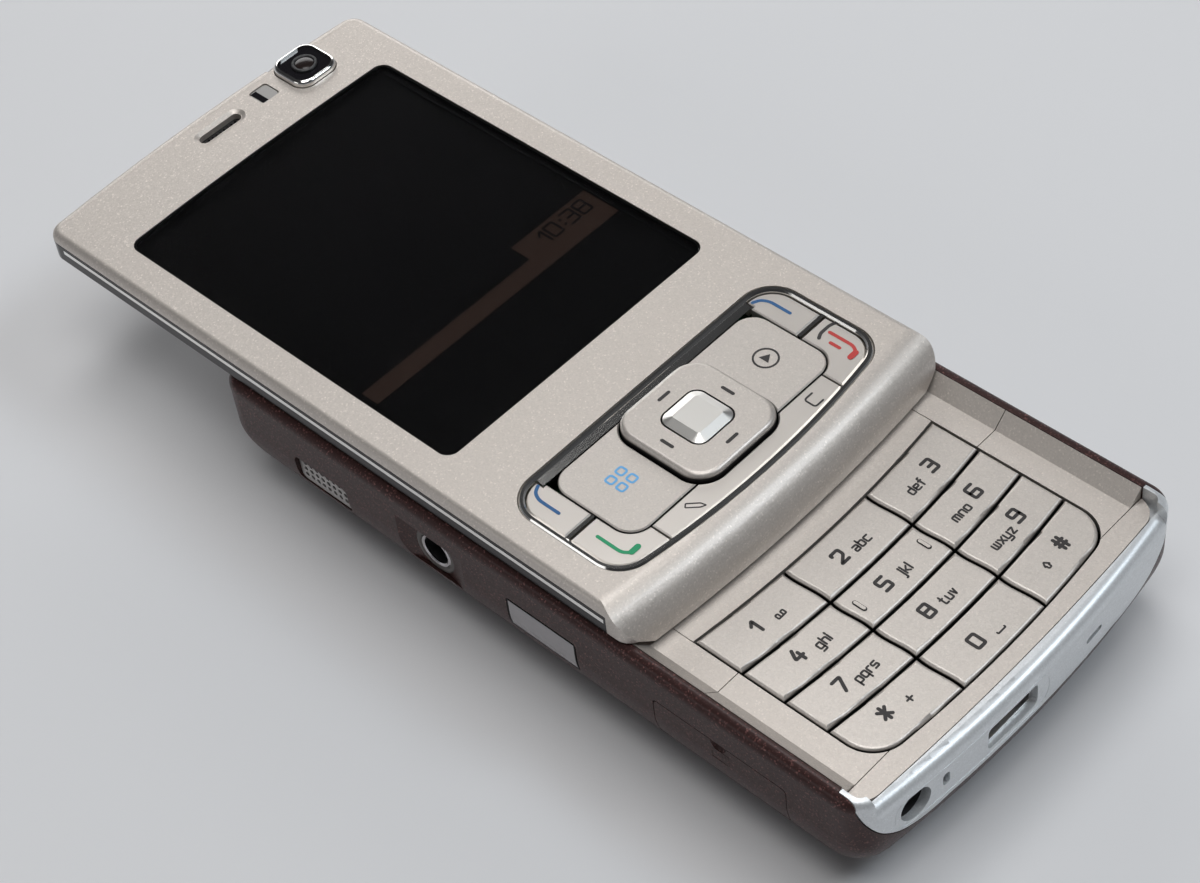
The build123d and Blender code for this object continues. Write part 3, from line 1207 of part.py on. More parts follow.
mesh_top = COVER_SEAM - SEAM / 2
with BuildPart() as earpiece_mesh:
    with BuildSketch(Plane.XY.offset(mesh_top - MESH_THICKNESS)):
        with Locations((0, on_slide(EARPIECE_Y))):
            SlotOverall(EARPIECE_WIDTH + 1.6, EARPIECE_DEPTH + 1.2)
            with GridLocations(MESH_PITCH, MESH_PITCH, 9, 2):
                Circle(MESH_HOLE, mode=Mode.SUBTRACT)
    extrude(amount=MESH_THICKNESS)
    # the earpiece's can behind the mesh
    with BuildSketch(Plane.XY.offset(SLIDE_BOARD_TOP)):
        with Locations((0, on_slide(EARPIECE_Y))):
            SlotOverall(EARPIECE_WIDTH + 1.6, EARPIECE_DEPTH + 1.2)
            SlotOverall(EARPIECE_WIDTH + 1.0, EARPIECE_DEPTH + 0.6, mode=Mode.SUBTRACT)
    extrude(amount=mesh_top - MESH_THICKNESS - SLIDE_BOARD_TOP)
keep(earpiece_mesh, "earpiece_mesh")

with BuildPart() as slide_circuit_board:
    with BuildSketch(Plane.XY.offset(SLIDE_BOARD_LEVEL)):
        add(
            bowed_outline(
                SLIDE_BOARD_HALF, on_slide(CHASSIS_END + 0.6), on_slide(SLIDE_LENGTH / 2 - 2.4),
                LIP_BOW, SLIDE_TOP_BOW, 1.5,
            )
        )
    extrude(amount=SLIDE_BOARD_THICKNESS)
    with BuildSketch(Plane.XY.offset(SLIDE_BOARD_TOP)):
        with Locations(
            *[
                (x, on_slide(y))
                for x, y in (
                    (-SIDE_STEM_X, SOFT_STEM_Y), (SIDE_STEM_X, SOFT_STEM_Y),
                    (-SIDE_STEM_X, HOOK_STEM_Y), (SIDE_STEM_X, HOOK_STEM_Y),
                    (-WIDE_STEM_X, WIDE_STEM_Y), (WIDE_STEM_X, WIDE_STEM_Y),
                    (-BAR_STEM_X, BAR_STEM_Y), (BAR_STEM_X, BAR_STEM_Y), (0, RING_MIDDLE),
                )
            ]
        ):
            Circle(CONTROL_DOME_RADIUS)
    extrude(amount=DOME_HEIGHT)
    # front camera and light sensor on the board, below their windows
    add(
        rounded_slab(
            CAMERA_X, on_slide(CAMERA_Y), CAMERA_WIDTH - 2.6, CAMERA_WIDTH - 2.6, 0.5,
            SLIDE_BOARD_TOP, COVER_SEAM + SEAM / 2,
        )
    )
    add(rounded_slab(SENSOR_X, on_slide(SENSOR_Y), 1.8, 1.8, 0.2, SLIDE_BOARD_TOP, WINDOW_BOTTOM - SEAM))
keep(slide_circuit_board, "slide_circuit_board")


# ---- Sockets ----
with BuildPart() as audio_jack_socket:
    jack_mouth = -BASE_WIDTH / 2 + SCOOP_DEPTH
    jack_plane = Plane(origin=(jack_mouth, JACK_Y, JACK_LEVEL), x_dir=(0, 1, 0), z_dir=(1, 0, 0))
    with BuildSketch(jack_plane):
        Circle(JACK_BODY)
    extrude(amount=JACK_LENGTH - SCOOP_DEPTH)
    with BuildSketch(jack_plane):
        Circle(JACK_BORE)
    extrude(amount=JACK_DEPTH, mode=Mode.SUBTRACT)
    # flattened on top, where the rail shoe passes over it
    add(
        block(
            -RAIL_X - SHOE_HEAD / 2 - SHOE_ROOM, 0, JACK_Y - JACK_BODY, JACK_Y + JACK_BODY,
            SHOE_HEAD_BOTTOM - SHOE_ROOM, RIM_HEIGHT,
        ),
        mode=Mode.SUBTRACT,
    )
keep(audio_jack_socket, "audio_jack_socket")

with BuildPart() as charger_socket:
    charger_mouth = -BASE_LENGTH / 2 + BASE_BOW * (CHARGER_X / (BASE_WIDTH / 2)) ** 2 + END_WALL + 0.5
    charger_plane = Plane(origin=(CHARGER_X, charger_mouth, SOCKET_LEVEL), x_dir=(1, 0, 0), z_dir=(0, 1, 0))
    with BuildSketch(charger_plane):
        Circle(CHARGER_BODY)
    extrude(amount=CHARGER_LENGTH)
    with BuildSketch(charger_plane):
        Circle(CHARGER_BORE)
    extrude(amount=CHARGER_LENGTH - 1, mode=Mode.SUBTRACT)
keep(charger_socket, "charger_socket")

with BuildPart() as usb_socket:
    usb_mouth = -BASE_LENGTH / 2 + 0.8
    usb_plane = Plane(origin=(USB_X, usb_mouth, SOCKET_LEVEL), x_dir=(-1, 0, 0), z_dir=(0, 1, 0))
    with BuildSketch(usb_plane):
        RectangleRounded(USB_WIDTH, USB_HEIGHT, 0.55)
    extrude(amount=USB_DEPTH)
    with BuildSketch(usb_plane):
        RectangleRounded(USB_WIDTH - 2 * USB_SHEET, USB_HEIGHT - 2 * USB_SHEET, 0.3)
    extrude(amount=USB_DEPTH - 0.6, mode=Mode.SUBTRACT)
    with BuildSketch(usb_plane.offset(0.8)):
        with Locations((0, 0.3)):
            Rectangle(USB_WIDTH - 2.4, 0.6)
    extrude(amount=USB_DEPTH - 1.0)
keep(usb_socket, "usb_socket")

# ---- Side pieces ----
with BuildPart() as infrared_window:
    add(outer_form)
    add(cover_form, mode=Mode.SUBTRACT)
    add(side_region(-1, INFRARED_Y, INFRARED_LENGTH, INFRARED_LEVEL, INFRARED_HEIGHT, 0.5), mode=Mode.INTERSECT)
keep(infrared_window, "infrared_window")

with BuildPart() as memory_card_door:
    add(outer_form)
    add(cover_form, mode=Mode.SUBTRACT)
    add(side_region(-1, DOOR_Y, DOOR_LENGTH, DOOR_LEVEL, DOOR_HEIGHT, 0.6), mode=Mode.INTERSECT)
    # notch for a fingernail in its upper edge
    with Locations((-BASE_WIDTH / 2 - 0.7, DOOR_Y, DOOR_LEVEL + DOOR_HEIGHT / 2)):
        Sphere(1.3, mode=Mode.SUBTRACT)
keep(memory_card_door, "memory_card_door")

with BuildPart() as speaker_grilles:
    for side in (-1, 1):
        face = Plane(
            origin=(side * (BASE_WIDTH / 2 - GRILLE_RECESS), SPEAKER_Y, SPEAKER_LEVEL),
            x_dir=(0, 1, 0), z_dir=(-side, 0, 0),
        )
        add(rounded_bar(face, SPEAKER_LENGTH, SPEAKER_HEIGHT, 0.8, SIDE_WALL - GRILLE_RECESS + GRILLE_THICKNESS))
    # its flange lies against the wall's inner face
    with BuildPart(mode=Mode.PRIVATE) as flange:
        for side in (-1, 1):
            inside = Plane(
                origin=(side * (BASE_WIDTH / 2 - SIDE_WALL - 0.05), SPEAKER_Y, SPEAKER_LEVEL),
                x_dir=(0, 1, 0), z_dir=(-side, 0, 0),
            )
            add(rounded_bar(inside, SPEAKER_LENGTH + 1.2, SPEAKER_HEIGHT + 1.2, 1.2, GRILLE_THICKNESS))
        add(inner_form, mode=Mode.INTERSECT)
    add(flange.part)
    with BuildSketch(Plane(origin=(-BASE_WIDTH / 2, SPEAKER_Y, SPEAKER_LEVEL), x_dir=(0, 1, 0), z_dir=(1, 0, 0))):
        with GridLocations(GRILLE_PITCH, GRILLE_PITCH, 8, 3):
            Circle(GRILLE_HOLE)
    extrude(amount=BASE_WIDTH, mode=Mode.SUBTRACT)
keep(speaker_grilles, "speaker_grilles")


def side_key(plane, length, nibs, nib_length):
    """A key in the wall: its cap, and the nibs that press the switches behind it."""
    with BuildPart() as key:
        add(rounded_bar(plane, length, SIDE_KEY_HEIGHT, 1.2, SIDE_KEY_DEPTH))
        chamfer(key.faces().sort_by(Axis(plane.origin, plane.z_dir))[0].edges(), 0.3)
        with BuildSketch(plane.offset(SIDE_KEY_DEPTH)):
            with Locations(*[(x, 0) for x in nibs]):
                Circle(NIB_RADIUS)
        extrude(amount=nib_length)
    return key.part


def right_plane(y):
    return Plane(origin=(BASE_WIDTH / 2 + SIDE_KEY_PROUD, y, SIDE_KEY_LEVEL), x_dir=(0, 1, 0), z_dir=(-1, 0, 0))


right_nib = BASE_WIDTH / 2 + SIDE_KEY_PROUD - SIDE_KEY_DEPTH - BOARD_HALF - SIDE_KEY_TRAVEL - 0.05
with BuildPart() as volume_key:
    add(side_key(right_plane(VOLUME_Y), VOLUME_LENGTH, (-VOLUME_NIB, VOLUME_NIB), right_nib))
keep(volume_key, "volume_key")

with BuildPart() as gallery_key:
    add(side_key(right_plane(GALLERY_Y), GALLERY_LENGTH, (0,), right_nib))
keep(gallery_key, "gallery_key")

with BuildPart() as shutter_key:
    add(side_key(right_plane(SHUTTER_KEY_Y), SHUTTER_KEY_LENGTH, (0,), right_nib))
keep(shutter_key, "shutter_key")

power_nib = TOP_END + SIDE_KEY_PROUD - SIDE_KEY_DEPTH - BOARD_HIGH_END - SIDE_KEY_TRAVEL - 0.05
with BuildPart() as power_key:
    power_face = Plane(
        origin=(0, BASE_LENGTH / 2 + SIDE_KEY_PROUD, SIDE_KEY_LEVEL), x_dir=(-1, 0, 0), z_dir=(0, -1, 0)
    )
    add(side_key(power_face, POWER_LENGTH, (0,), power_nib))
keep(power_key, "power_key")

# ---- Rear camera ----
with BuildPart() as rear_camera_bezel:
    with BuildSketch(Plane.XY.offset(LENS_RECESS)):
        with Locations((0, LENS_Y)):
            Circle(LENS_RING)
            Circle(LENS_RADIUS, mode=Mode.SUBTRACT)
    extrude(amount=LENS_RING_HEIGHT)
    chamfer(rear_camera_bezel.faces().sort_by(Axis.Z)[0].edges(), 0.4)
keep(rear_camera_bezel, "rear_camera_bezel")

blade_bottom = SIDE_WALL + SEAM
with BuildPart() as lens_shutter:
    add(
        block(
            BLADE_LEFT, BLADE_LEFT + 2 * BLADE_HALF, LENS_Y - BLADE_HALF, LENS_Y + BLADE_HALF,
            blade_bottom, blade_bottom + BLADE_THICKNESS,
        )
    )
    add(
        block(
            BLADE_LEFT + BLADE_HALF, BLADE_ARM_END, LENS_Y - KNOB_HALF, LENS_Y + KNOB_HALF,
            blade_bottom, blade_bottom + BLADE_THICKNESS,
        )
    )
    add(
        block(
            KNOB_MIDDLE - KNOB_HALF, KNOB_MIDDLE + KNOB_HALF, LENS_Y - KNOB_HALF, LENS_Y + KNOB_HALF,
            LENS_RECESS, blade_bottom,
        )
    )
keep(lens_shutter, "lens_shutter")

with BuildPart() as rear_camera_module:
    with Locations((0, LENS_Y, MODULE_BOTTOM + BARREL_HEIGHT)):
        Box(
            MODULE_WIDTH, MODULE_WIDTH, BOARD_LEVEL - MODULE_BOTTOM - BARREL_HEIGHT,
            align=(Align.CENTER, Align.CENTER, Align.MIN),
        )
    with BuildSketch(Plane.XY.offset(MODULE_BOTTOM)):
        with Locations((0, LENS_Y)):
            Circle(BARREL_RADIUS)
    extrude(amount=BARREL_HEIGHT)
    with BuildSketch(Plane.XY.offset(MODULE_BOTTOM)):
        with Locations((0, LENS_Y)):
            Circle(BARREL_RADIUS - 0.7)
    extrude(amount=BARREL_HEIGHT, taper=35, mode=Mode.SUBTRACT)
keep(rear_camera_module, "rear_camera_module")
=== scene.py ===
"""Looks of the two-way slider phone: finishes, printed marks, lenses, trim, fine lines and the studio.

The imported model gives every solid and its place. Lengths in the builders below are millimetres
in the phone's own frame (+X its right side, +Y its top end, +Z its face, 0 at the back's middle).
"""

import json
import math

import bmesh
import bpy
from mathutils import Matrix, Vector


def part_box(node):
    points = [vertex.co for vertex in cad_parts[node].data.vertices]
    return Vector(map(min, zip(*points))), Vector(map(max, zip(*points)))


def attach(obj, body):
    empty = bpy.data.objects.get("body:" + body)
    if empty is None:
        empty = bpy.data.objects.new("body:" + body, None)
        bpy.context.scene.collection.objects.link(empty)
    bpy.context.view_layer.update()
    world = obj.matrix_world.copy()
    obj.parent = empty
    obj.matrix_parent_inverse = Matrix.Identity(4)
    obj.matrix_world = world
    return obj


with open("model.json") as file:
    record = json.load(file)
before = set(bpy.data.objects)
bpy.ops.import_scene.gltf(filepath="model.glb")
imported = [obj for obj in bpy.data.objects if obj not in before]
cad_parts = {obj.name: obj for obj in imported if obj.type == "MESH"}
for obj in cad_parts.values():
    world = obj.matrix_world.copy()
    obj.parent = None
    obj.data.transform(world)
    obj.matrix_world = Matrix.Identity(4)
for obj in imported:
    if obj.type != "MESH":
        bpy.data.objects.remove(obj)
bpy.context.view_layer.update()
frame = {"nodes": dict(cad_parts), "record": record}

bl_info = {
    "name": "Slider phone looks",
    "version": (1, 0, 0),
    "blender": (4, 5, 0),
    "location": "View3D > Sidebar > Phone",
    "description": "Finishes, printed marks, lenses, socket trim and studio of the slider phone",
    "category": "Object",
}

MM = 0.001
KEY_TOP = 15.45
CONTROL_TOP = 20.75
RING_TOP = 21.75
PANEL_TOP = 19.75
WINDOW_UNDERSIDE = 20.05
BASE_HALF_WIDTH = 26.4
BASE_HALF_LENGTH = 49.5
BASE_BOW = 2.0
UNDERSIDE_ROUND = 10.0
SOCKET_LEVEL = 11.7
TOP_BOW = 0.0016               # drop of the slide's top edge per square millimetre off the middle
COVER_ROUND = 1.0              # rounding of the front cover's edge

DIGIT_UNITS = 6                # height of a digit on the characters' grid
LETTER_UNITS = 4               # height of a small letter on it
BASELINE = 2
CHARACTER_GAP = 1.5
CHARACTER_CORNER = 0.75
CROSSING_STEP = 0.002          # each stroke of a character stands this much over the last
DIGIT_STROKE = 0.40
LETTER_STROKE = 0.235
SIGN_STROKE = 0.22
MARK_STROKE = 0.42

PICTURE_LAYER = 0.02           # thickness of each layer of the standby picture
WINDOW_BOW = 0.4               # drop of the window's top edge at its corners
GASKET_INSET = 0.05
GASKET_WIDTH = 0.24
GASKET_DEPTH = 0.79
GASKET_RISE = 0.06
RAISED = {"low": -0.05, "high": 0.03}     # foot and top of a moulded line
SKIN_END = 22.6                # the cover's edge skin ends this far off the middle
SKIN_TOP = 0.012
SKIN_FOOT = -0.2
SKIN_STATIONS = 48
SIDE_LINE_LEVEL = 18.75
SIDE_LINE_HEIGHT = 0.6


# ---------------------------------------------------------------- settings
class PhoneFinishSettings(bpy.types.PropertyGroup):
    """How the paints and metals look."""

    flake_size: bpy.props.FloatProperty(
        name="Flake size", description="Width of one metal flake in the paint", default=0.00017,
        min=0.00002, max=0.002, precision=5, unit="LENGTH", subtype="DISTANCE",
    )
    # Painted glint of the flakes: how much lighter in colour the brightest flakes are.
    glint: bpy.props.FloatProperty(
        name="Glint", description="How much brighter the brightest flakes are", default=0.45,
        min=0.0, max=3.0, subtype="FACTOR",
    )
    tilt: bpy.props.FloatProperty(
        name="Flake tilt", description="How far the flakes lean from the surface", default=0.06,
        min=0.0, max=1.0, subtype="FACTOR",
    )
    wear: bpy.props.FloatProperty(
        name="Handling", description="How uneven the gloss is from handling", default=0.06,
        min=0.0, max=0.4, subtype="FACTOR",
    )


class PhoneMarkSettings(bpy.types.PropertyGroup):
    """Size of the printed marks."""

    digit_height: bpy.props.FloatProperty(
        name="Digit height", description="Height of a digit on a number key", default=0.0017,
        min=0.0005, max=0.005, precision=5, unit="LENGTH", subtype="DISTANCE",
    )
    letter_height: bpy.props.FloatProperty(
        name="Small letter height", description="Height of a small letter without its stem", default=0.00078,
        min=0.0003, max=0.003, precision=5, unit="LENGTH", subtype="DISTANCE",
    )
    print_thickness: bpy.props.FloatProperty(
        name="Print thickness", description="How far the printing stands up from its key", default=0.00003,
        min=0.000005, max=0.0002, precision=6, unit="LENGTH", subtype="DISTANCE",
    )


class PhoneStageSettings(bpy.types.PropertyGroup):
    """The studio round the phone."""

    floor_size: bpy.props.FloatProperty(
        name="Floor size", description="Width of the pale floor", default=2.4, min=0.5, max=10.0,
        unit="LENGTH", subtype="DISTANCE",
    )
    key_power: bpy.props.FloatProperty(
        name="Key light", description="Power of the large light overhead", default=5.2, min=0.0, max=200.0,
        unit="POWER",
    )
    fill_power: bpy.props.FloatProperty(
        name="Fill light", description="Power of the side lights", default=1.3, min=0.0, max=200.0,
        unit="POWER",
    )
    sky: bpy.props.FloatProperty(
        name="Room light", description="Brightness of the room at the height of the floor", default=0.26,
        min=0.0, max=2.0, subtype="FACTOR",
    )


# ---------------------------------------------------------------- shapes
def soften(points, radius, closed):
    """Rounds the corners of a line of points."""
    softened = []
    count = len(points)
    for index, point in enumerate(points):
        if not closed and index in (0, count - 1):
            softened.append(point)
            continue
        before = points[index - 1] - point
        after = points[(index + 1) % count] - point
        reach = min(radius, before.length * 0.48, after.length * 0.48)
        start = point + before.normalized() * reach
        end = point + after.normalized() * reach
        for step in range(6):
            t = step / 5
            softened.append(start * (1 - t) ** 2 + point * 2 * t * (1 - t) + end * t ** 2)
    return softened


def stations(points, width, closed):
    """Places along a stroke, each with its direction across and its half-width; open ends are round."""
    rows = []
    count = len(points)
    for index, point in enumerate(points):
        ahead = points[(index + 1) % count] if closed or index < count - 1 else None
        behind = points[index - 1] if closed or index > 0 else None
        first = ((ahead - point) if behind is None else (point - behind)).normalized()
        second = first if ahead is None else (ahead - point).normalized()
        along = first + second
        along = along.normalized() if along.length > 1e-6 else first
        stretch = min(1 / max(along.dot(first), 0.4), 1.6)
        rows.append((point, Vector((-along.y, along.x)) * stretch, width / 2))
    if not closed:
        for end, order in ((0, 1), (-1, -1)):
            point, across, half = rows[end]
            out = Vector((-across.y, across.x)).normalized() * order
            caps = [
                (point + out * half * math.sin(turn), across, half * math.cos(turn))
                for turn in map(math.radians, (85, 60, 30))
            ]
            rows = caps + rows if order == 1 else rows + caps[::-1]
    return rows


def spaced(first, last, count):
    """Evenly spaced values from one end to the other."""
    return [first + (last - first) * step / (count - 1) for step in range(count)]


def flat(height):
    """Places a stroke on a level face."""
    return lambda u, v, h: Vector((u, v, height + h))


def end_face(u, v, h):
    """Places a stroke on the base's bottom end: u across, v up."""
    return Vector((u, -BASE_HALF_LENGTH + BASE_BOW * (u / BASE_HALF_WIDTH) ** 2 - h, v))


def left_face(u, v, h):
    """Places a stroke on the base's left side: u along the phone, v up."""
    drop = max(UNDERSIDE_ROUND - v, 0)
    inset = UNDERSIDE_ROUND - math.sqrt(UNDERSIDE_ROUND ** 2 - drop ** 2)
    return Vector((-BASE_HALF_WIDTH + inset - h, u, v))


def stroke(mesh, points, width, place, high, low=0.0, corner=0.0, closed=False):
    """A band of constant width along points, as a thin solid on a surface."""
    line = [Vector(point) for point in points]
    if corner:
        line = soften(line, corner, closed)
    rows = []
    for point, across, half in stations(line, width, closed):
        left = point + across * half
        right = point - across * half
        rows.append([mesh.verts.new(place(p.x, p.y, h) * MM) for p in (left, right) for h in (high, low)])
    for one, two in zip(rows, rows[1:] + rows[:1] if closed else rows[1:]):
        for a, b in ((0, 2), (2, 3), (3, 1), (1, 0)):
            mesh.faces.new((one[a], one[b], two[b], two[a]))
    if not closed:
        for row in (rows[0], rows[-1]):
            mesh.faces.new((row[0], row[1], row[3], row[2]))


def prism(mesh, outline, place, low, high):
    """A filled outline as a thin solid."""
    top = [mesh.verts.new(place(u, v, high) * MM) for u, v in outline]
    bottom = [mesh.verts.new(place(u, v, low) * MM) for u, v in outline]
    mesh.faces.new(top)
    mesh.faces.new(bottom[::-1])
    for index in range(len(outline)):
        after = (index + 1) % len(outline)
        mesh.faces.new((top[index], bottom[index], bottom[after], top[after]))


def circle(centre, radius, steps):
    """Points round a centre."""
    turns = [2 * math.pi * step / steps for step in range(steps)]
    return [(centre[0] + radius * math.cos(turn), centre[1] + radius * math.sin(turn)) for turn in turns]


def lathe(mesh, profile, centre, axis, steps=56):
    """A turned shape: profile points are (radius, distance along axis) from centre."""
    axis = Vector(axis).normalized()
    turn = axis.to_track_quat("Z", "Y").to_matrix()
    rings = []
    for radius, along in profile:
        if radius < 1e-6:
            rings.append([mesh.verts.new((Vector(centre) + turn @ Vector((0, 0, along))) * MM)] * steps)
            continue
        ring = []
        for step in range(steps):
            angle = 2 * math.pi * step / steps
            spot = Vector((radius * math.cos(angle), radius * math.sin(angle), along))
            ring.append(mesh.verts.new((Vector(centre) + turn @ spot) * MM))
        rings.append(ring)
    for one, two in zip(rings, rings[1:]):
        for step in range(steps):
            after = (step + 1) % steps
            corners = []
            for vert in (one[step], one[after], two[after], two[step]):
                if vert not in corners:
                    corners.append(vert)
            if len(corners) > 2:
                mesh.faces.new(corners)


def add_piece(name, build, material, body, smooth=False):
    """Makes one named object from a build function and fixes it to a moving body."""
    mesh = bmesh.new()
    build(mesh)
    bmesh.ops.recalc_face_normals(mesh, faces=mesh.faces)
    data = bpy.data.meshes.new(name)
    mesh.to_mesh(data)
    mesh.free()
    if not data.polygons:
        raise RuntimeError(f"{name} came out empty")
    data.materials.append(bpy.data.materials[material])
    piece = bpy.data.objects.new(name, data)
    bpy.context.scene.collection.objects.link(piece)
    if smooth:
        data.shade_smooth()
        data.set_sharp_from_angle(angle=math.radians(32))
    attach(piece, body)


# ---------------------------------------------------------------- lettering
# Strokes of each character on a small grid: x then y, "o" in front of a closed one.
# The baseline is y 2, a small letter is 4 high and a digit 6 high.
GLYPHS = {
    "0": ["o02 42 48 08"],
    "1": ["06 28 22"],
    "2": ["07 08 48 45 02 42"],
    "3": ["08 48 42 02", "15 45"],
    "4": ["28 04 44", "36 32"],
    "5": ["48 08 05 45 42 02"],
    "6": ["48 08 02 42 45 05"],
    "7": ["08 48 12"],
    "8": ["o02 42 48 08", "05 45"],
    "9": ["02 42 48 08 05 45"],
    "*": ["22 28", "03 47", "07 43"],
    "#": ["12 18", "32 38", "04 44", "06 46"],
    "+": ["22 26", "04 44"],
    "a": ["06 36 32 02 04 34"],
    "b": ["08 02 32 36 06"],
    "c": ["36 06 02 32"],
    "d": ["38 32 02 06 36"],
    "e": ["04 34 36 06 02 32"],
    "f": ["28 18 12", "06 26"],
    "g": ["32 02 06 36 30 00"],
    "h": ["08 02", "06 36 32"],
    "i": ["02 06", "07 08"],
    "j": ["16 10 00", "17 18"],
    "k": ["08 02", "04 14 36", "14 32"],
    "l": ["08 02"],
    "m": ["02 06 46 42", "26 22"],
    "n": ["02 06 36 32"],
    "o": ["o02 32 36 06"],
    "p": ["00 06 36 32 02"],
    "q": ["30 36 06 02 32"],
    "r": ["02 06 26"],
    "s": ["36 06 04 34 32 02"],
    "t": ["18 12 32", "06 26"],
    "u": ["06 02 32 36"],
    "v": ["06 12 26"],
    "w": ["06 02 42 46", "22 26"],
    "x": ["02 36", "06 32"],
    "y": ["06 02 32", "36 30 00"],
    "z": ["06 36 02 32"],
}
SIGNS = {
    "tape": ["o02 22 25 05", "o42 62 65 45", "22 42"],
    "space": ["03 02 62 63"],
    "shift": ["o12 32 34 44 27 04 14"],
}


def grid_points(line):
    """Points of one stroke of a character."""
    return [Vector((int(pair[0]), int(pair[1]))) for pair in line.lstrip("o").split()]


def glyph_width(strokes):
    """Width of a character on its grid."""
    return max(point.x for line in strokes for point in grid_points(line))


def draw_sign(mesh, strokes, x, y, unit, width, place, high):
    """Draws a character with its grid's lower left at x, y."""
    for index, line in enumerate(strokes):
        points = [Vector((x, y)) + point * unit for point in grid_points(line)]
        stroke(
            mesh, points, width, place, high=high + index * CROSSING_STEP,
            corner=CHARACTER_CORNER * unit, closed=line.startswith("o"),
        )


def draw_text(mesh, text, centre, baseline, unit, width, place, high):
    """Draws a word about a centre; baseline is its height."""
    total = sum(glyph_width(GLYPHS[letter]) for letter in text) + CHARACTER_GAP * (len(text) - 1)
    x = centre - total * unit / 2
    for letter in text:
        draw_sign(mesh, GLYPHS[letter], x, baseline - BASELINE * unit, unit, width, place, high)
        x += (glyph_width(GLYPHS[letter]) + CHARACTER_GAP) * unit


# ---------------------------------------------------------------- node groups and materials
def new_group(name, inputs, outputs):
    """A shader node group with named sockets."""
    tree = bpy.data.node_groups.new(name, "ShaderNodeTree")
    for label, kind, default in inputs:
        socket = tree.interface.new_socket(label, in_out="INPUT", socket_type=kind)
        if default is not None:
            socket.default_value = default
    for label, kind in outputs:
        tree.interface.new_socket(label, in_out="OUTPUT", socket_type=kind)
    return tree, tree.nodes.new("NodeGroupInput"), tree.nodes.new("NodeGroupOutput")


def math_node(tree, operation, first, second=None, third=None):
    """A math node with its inputs linked or set."""
    node = tree.nodes.new("ShaderNodeMath")
    node.operation = operation
    for socket, value in zip(node.inputs, (first, second, third)):
        if value is None:
            continue
        if isinstance(value, (int, float)):
            socket.default_value = value
        else:
            tree.links.new(value, socket)
    return node.outputs[0]


def vector_node(tree, operation, first, second=None, scale=None):
    """A vector math node; second is a link or a fixed vector."""
    node = tree.nodes.new("ShaderNodeVectorMath")
    node.operation = operation
    tree.links.new(first, node.inputs[0])
    if isinstance(second, tuple):
        node.inputs[1].default_value = second
    elif second is not None:
        tree.links.new(second, node.inputs[1])
    if scale is not None:
        tree.links.new(scale, node.inputs["Scale"])
    return node.outputs[0]


def make_sparkle_group():
    """Metal flakes in paint: a colour that varies at random from flake to flake, painted glints on the
    brightest flakes, and a leaning normal.
    """
    tree, start, end = new_group(
        "Phone flakes",
        (
            ("Color", "NodeSocketColor", (0.6, 0.6, 0.6, 1)),
            ("Flake Size", "NodeSocketFloat", 0.00017),
            ("Glint", "NodeSocketFloat", 0.5),
            ("Tilt", "NodeSocketFloat", 0.16),
        ),
        (("Color", "NodeSocketColor"), ("Normal", "NodeSocketVector")),
    )
    links = tree.links
    place = tree.nodes.new("ShaderNodeTexCoord")
    cells = tree.nodes.new("ShaderNodeTexVoronoi")
    links.new(place.outputs["Object"], cells.inputs["Vector"])
    links.new(math_node(tree, "DIVIDE", 1.0, start.outputs["Flake Size"]), cells.inputs["Scale"])
    parts = tree.nodes.new("ShaderNodeSeparateColor")
    links.new(cells.outputs["Color"], parts.inputs["Color"])
    # Painted glint: a few flakes get a much lighter colour under every lamp.
    bright = math_node(tree, "POWER", parts.outputs["Red"], 14.0)
    uneven = math_node(tree, "MULTIPLY_ADD", parts.outputs["Green"], 0.1, 0.92)
    lift = math_node(tree, "ADD", math_node(tree, "MULTIPLY", bright, start.outputs["Glint"]), uneven)
    links.new(vector_node(tree, "SCALE", start.outputs["Color"], scale=lift), end.inputs["Color"])
    lean = vector_node(tree, "SUBTRACT", cells.outputs["Color"], (0.5, 0.5, 0.5))
    tilt = vector_node(tree, "SCALE", lean, scale=start.outputs["Tilt"])
    surface = tree.nodes.new("ShaderNodeNewGeometry")
    total = vector_node(tree, "ADD", surface.outputs["Normal"], tilt)
    links.new(vector_node(tree, "NORMALIZE", total), end.inputs["Normal"])


def make_wall_and_gap_shade_group():
    """Dark colour on the upright walls: unpainted plastic where the paint ends, and painted shade of the gaps
    between the keys.
    """
    tree, start, end = new_group(
        "Phone unpainted walls and gap shade",
        (
            ("Color", "NodeSocketColor", (0.6, 0.6, 0.6, 1)),
            ("Wall And Gap Shade Color", "NodeSocketColor", (0.02, 0.02, 0.02, 1)),
        ),
        (("Color", "NodeSocketColor"),),
    )
    links = tree.links
    surface = tree.nodes.new("ShaderNodeNewGeometry")
    split = tree.nodes.new("ShaderNodeSeparateXYZ")
    links.new(surface.outputs["Normal"], split.inputs["Vector"])
    upright = math_node(tree, "ABSOLUTE", split.outputs["Z"])
    fade = tree.nodes.new("ShaderNodeMapRange")
    fade.inputs["From Min"].default_value = 0.12
    fade.inputs["From Max"].default_value = 0.5
    links.new(upright, fade.inputs["Value"])
    # Painted shade: upright walls take the dark wall colour, standing for unpainted plastic and the shade in
    # the gaps.
    mix = tree.nodes.new("ShaderNodeMix")
    mix.data_type = "RGBA"
    links.new(fade.outputs["Result"], mix.inputs["Factor"])
    links.new(start.outputs["Wall And Gap Shade Color"], mix.inputs["A"])
    links.new(start.outputs["Color"], mix.inputs["B"])
    links.new(mix.outputs["Result"], end.inputs["Color"])


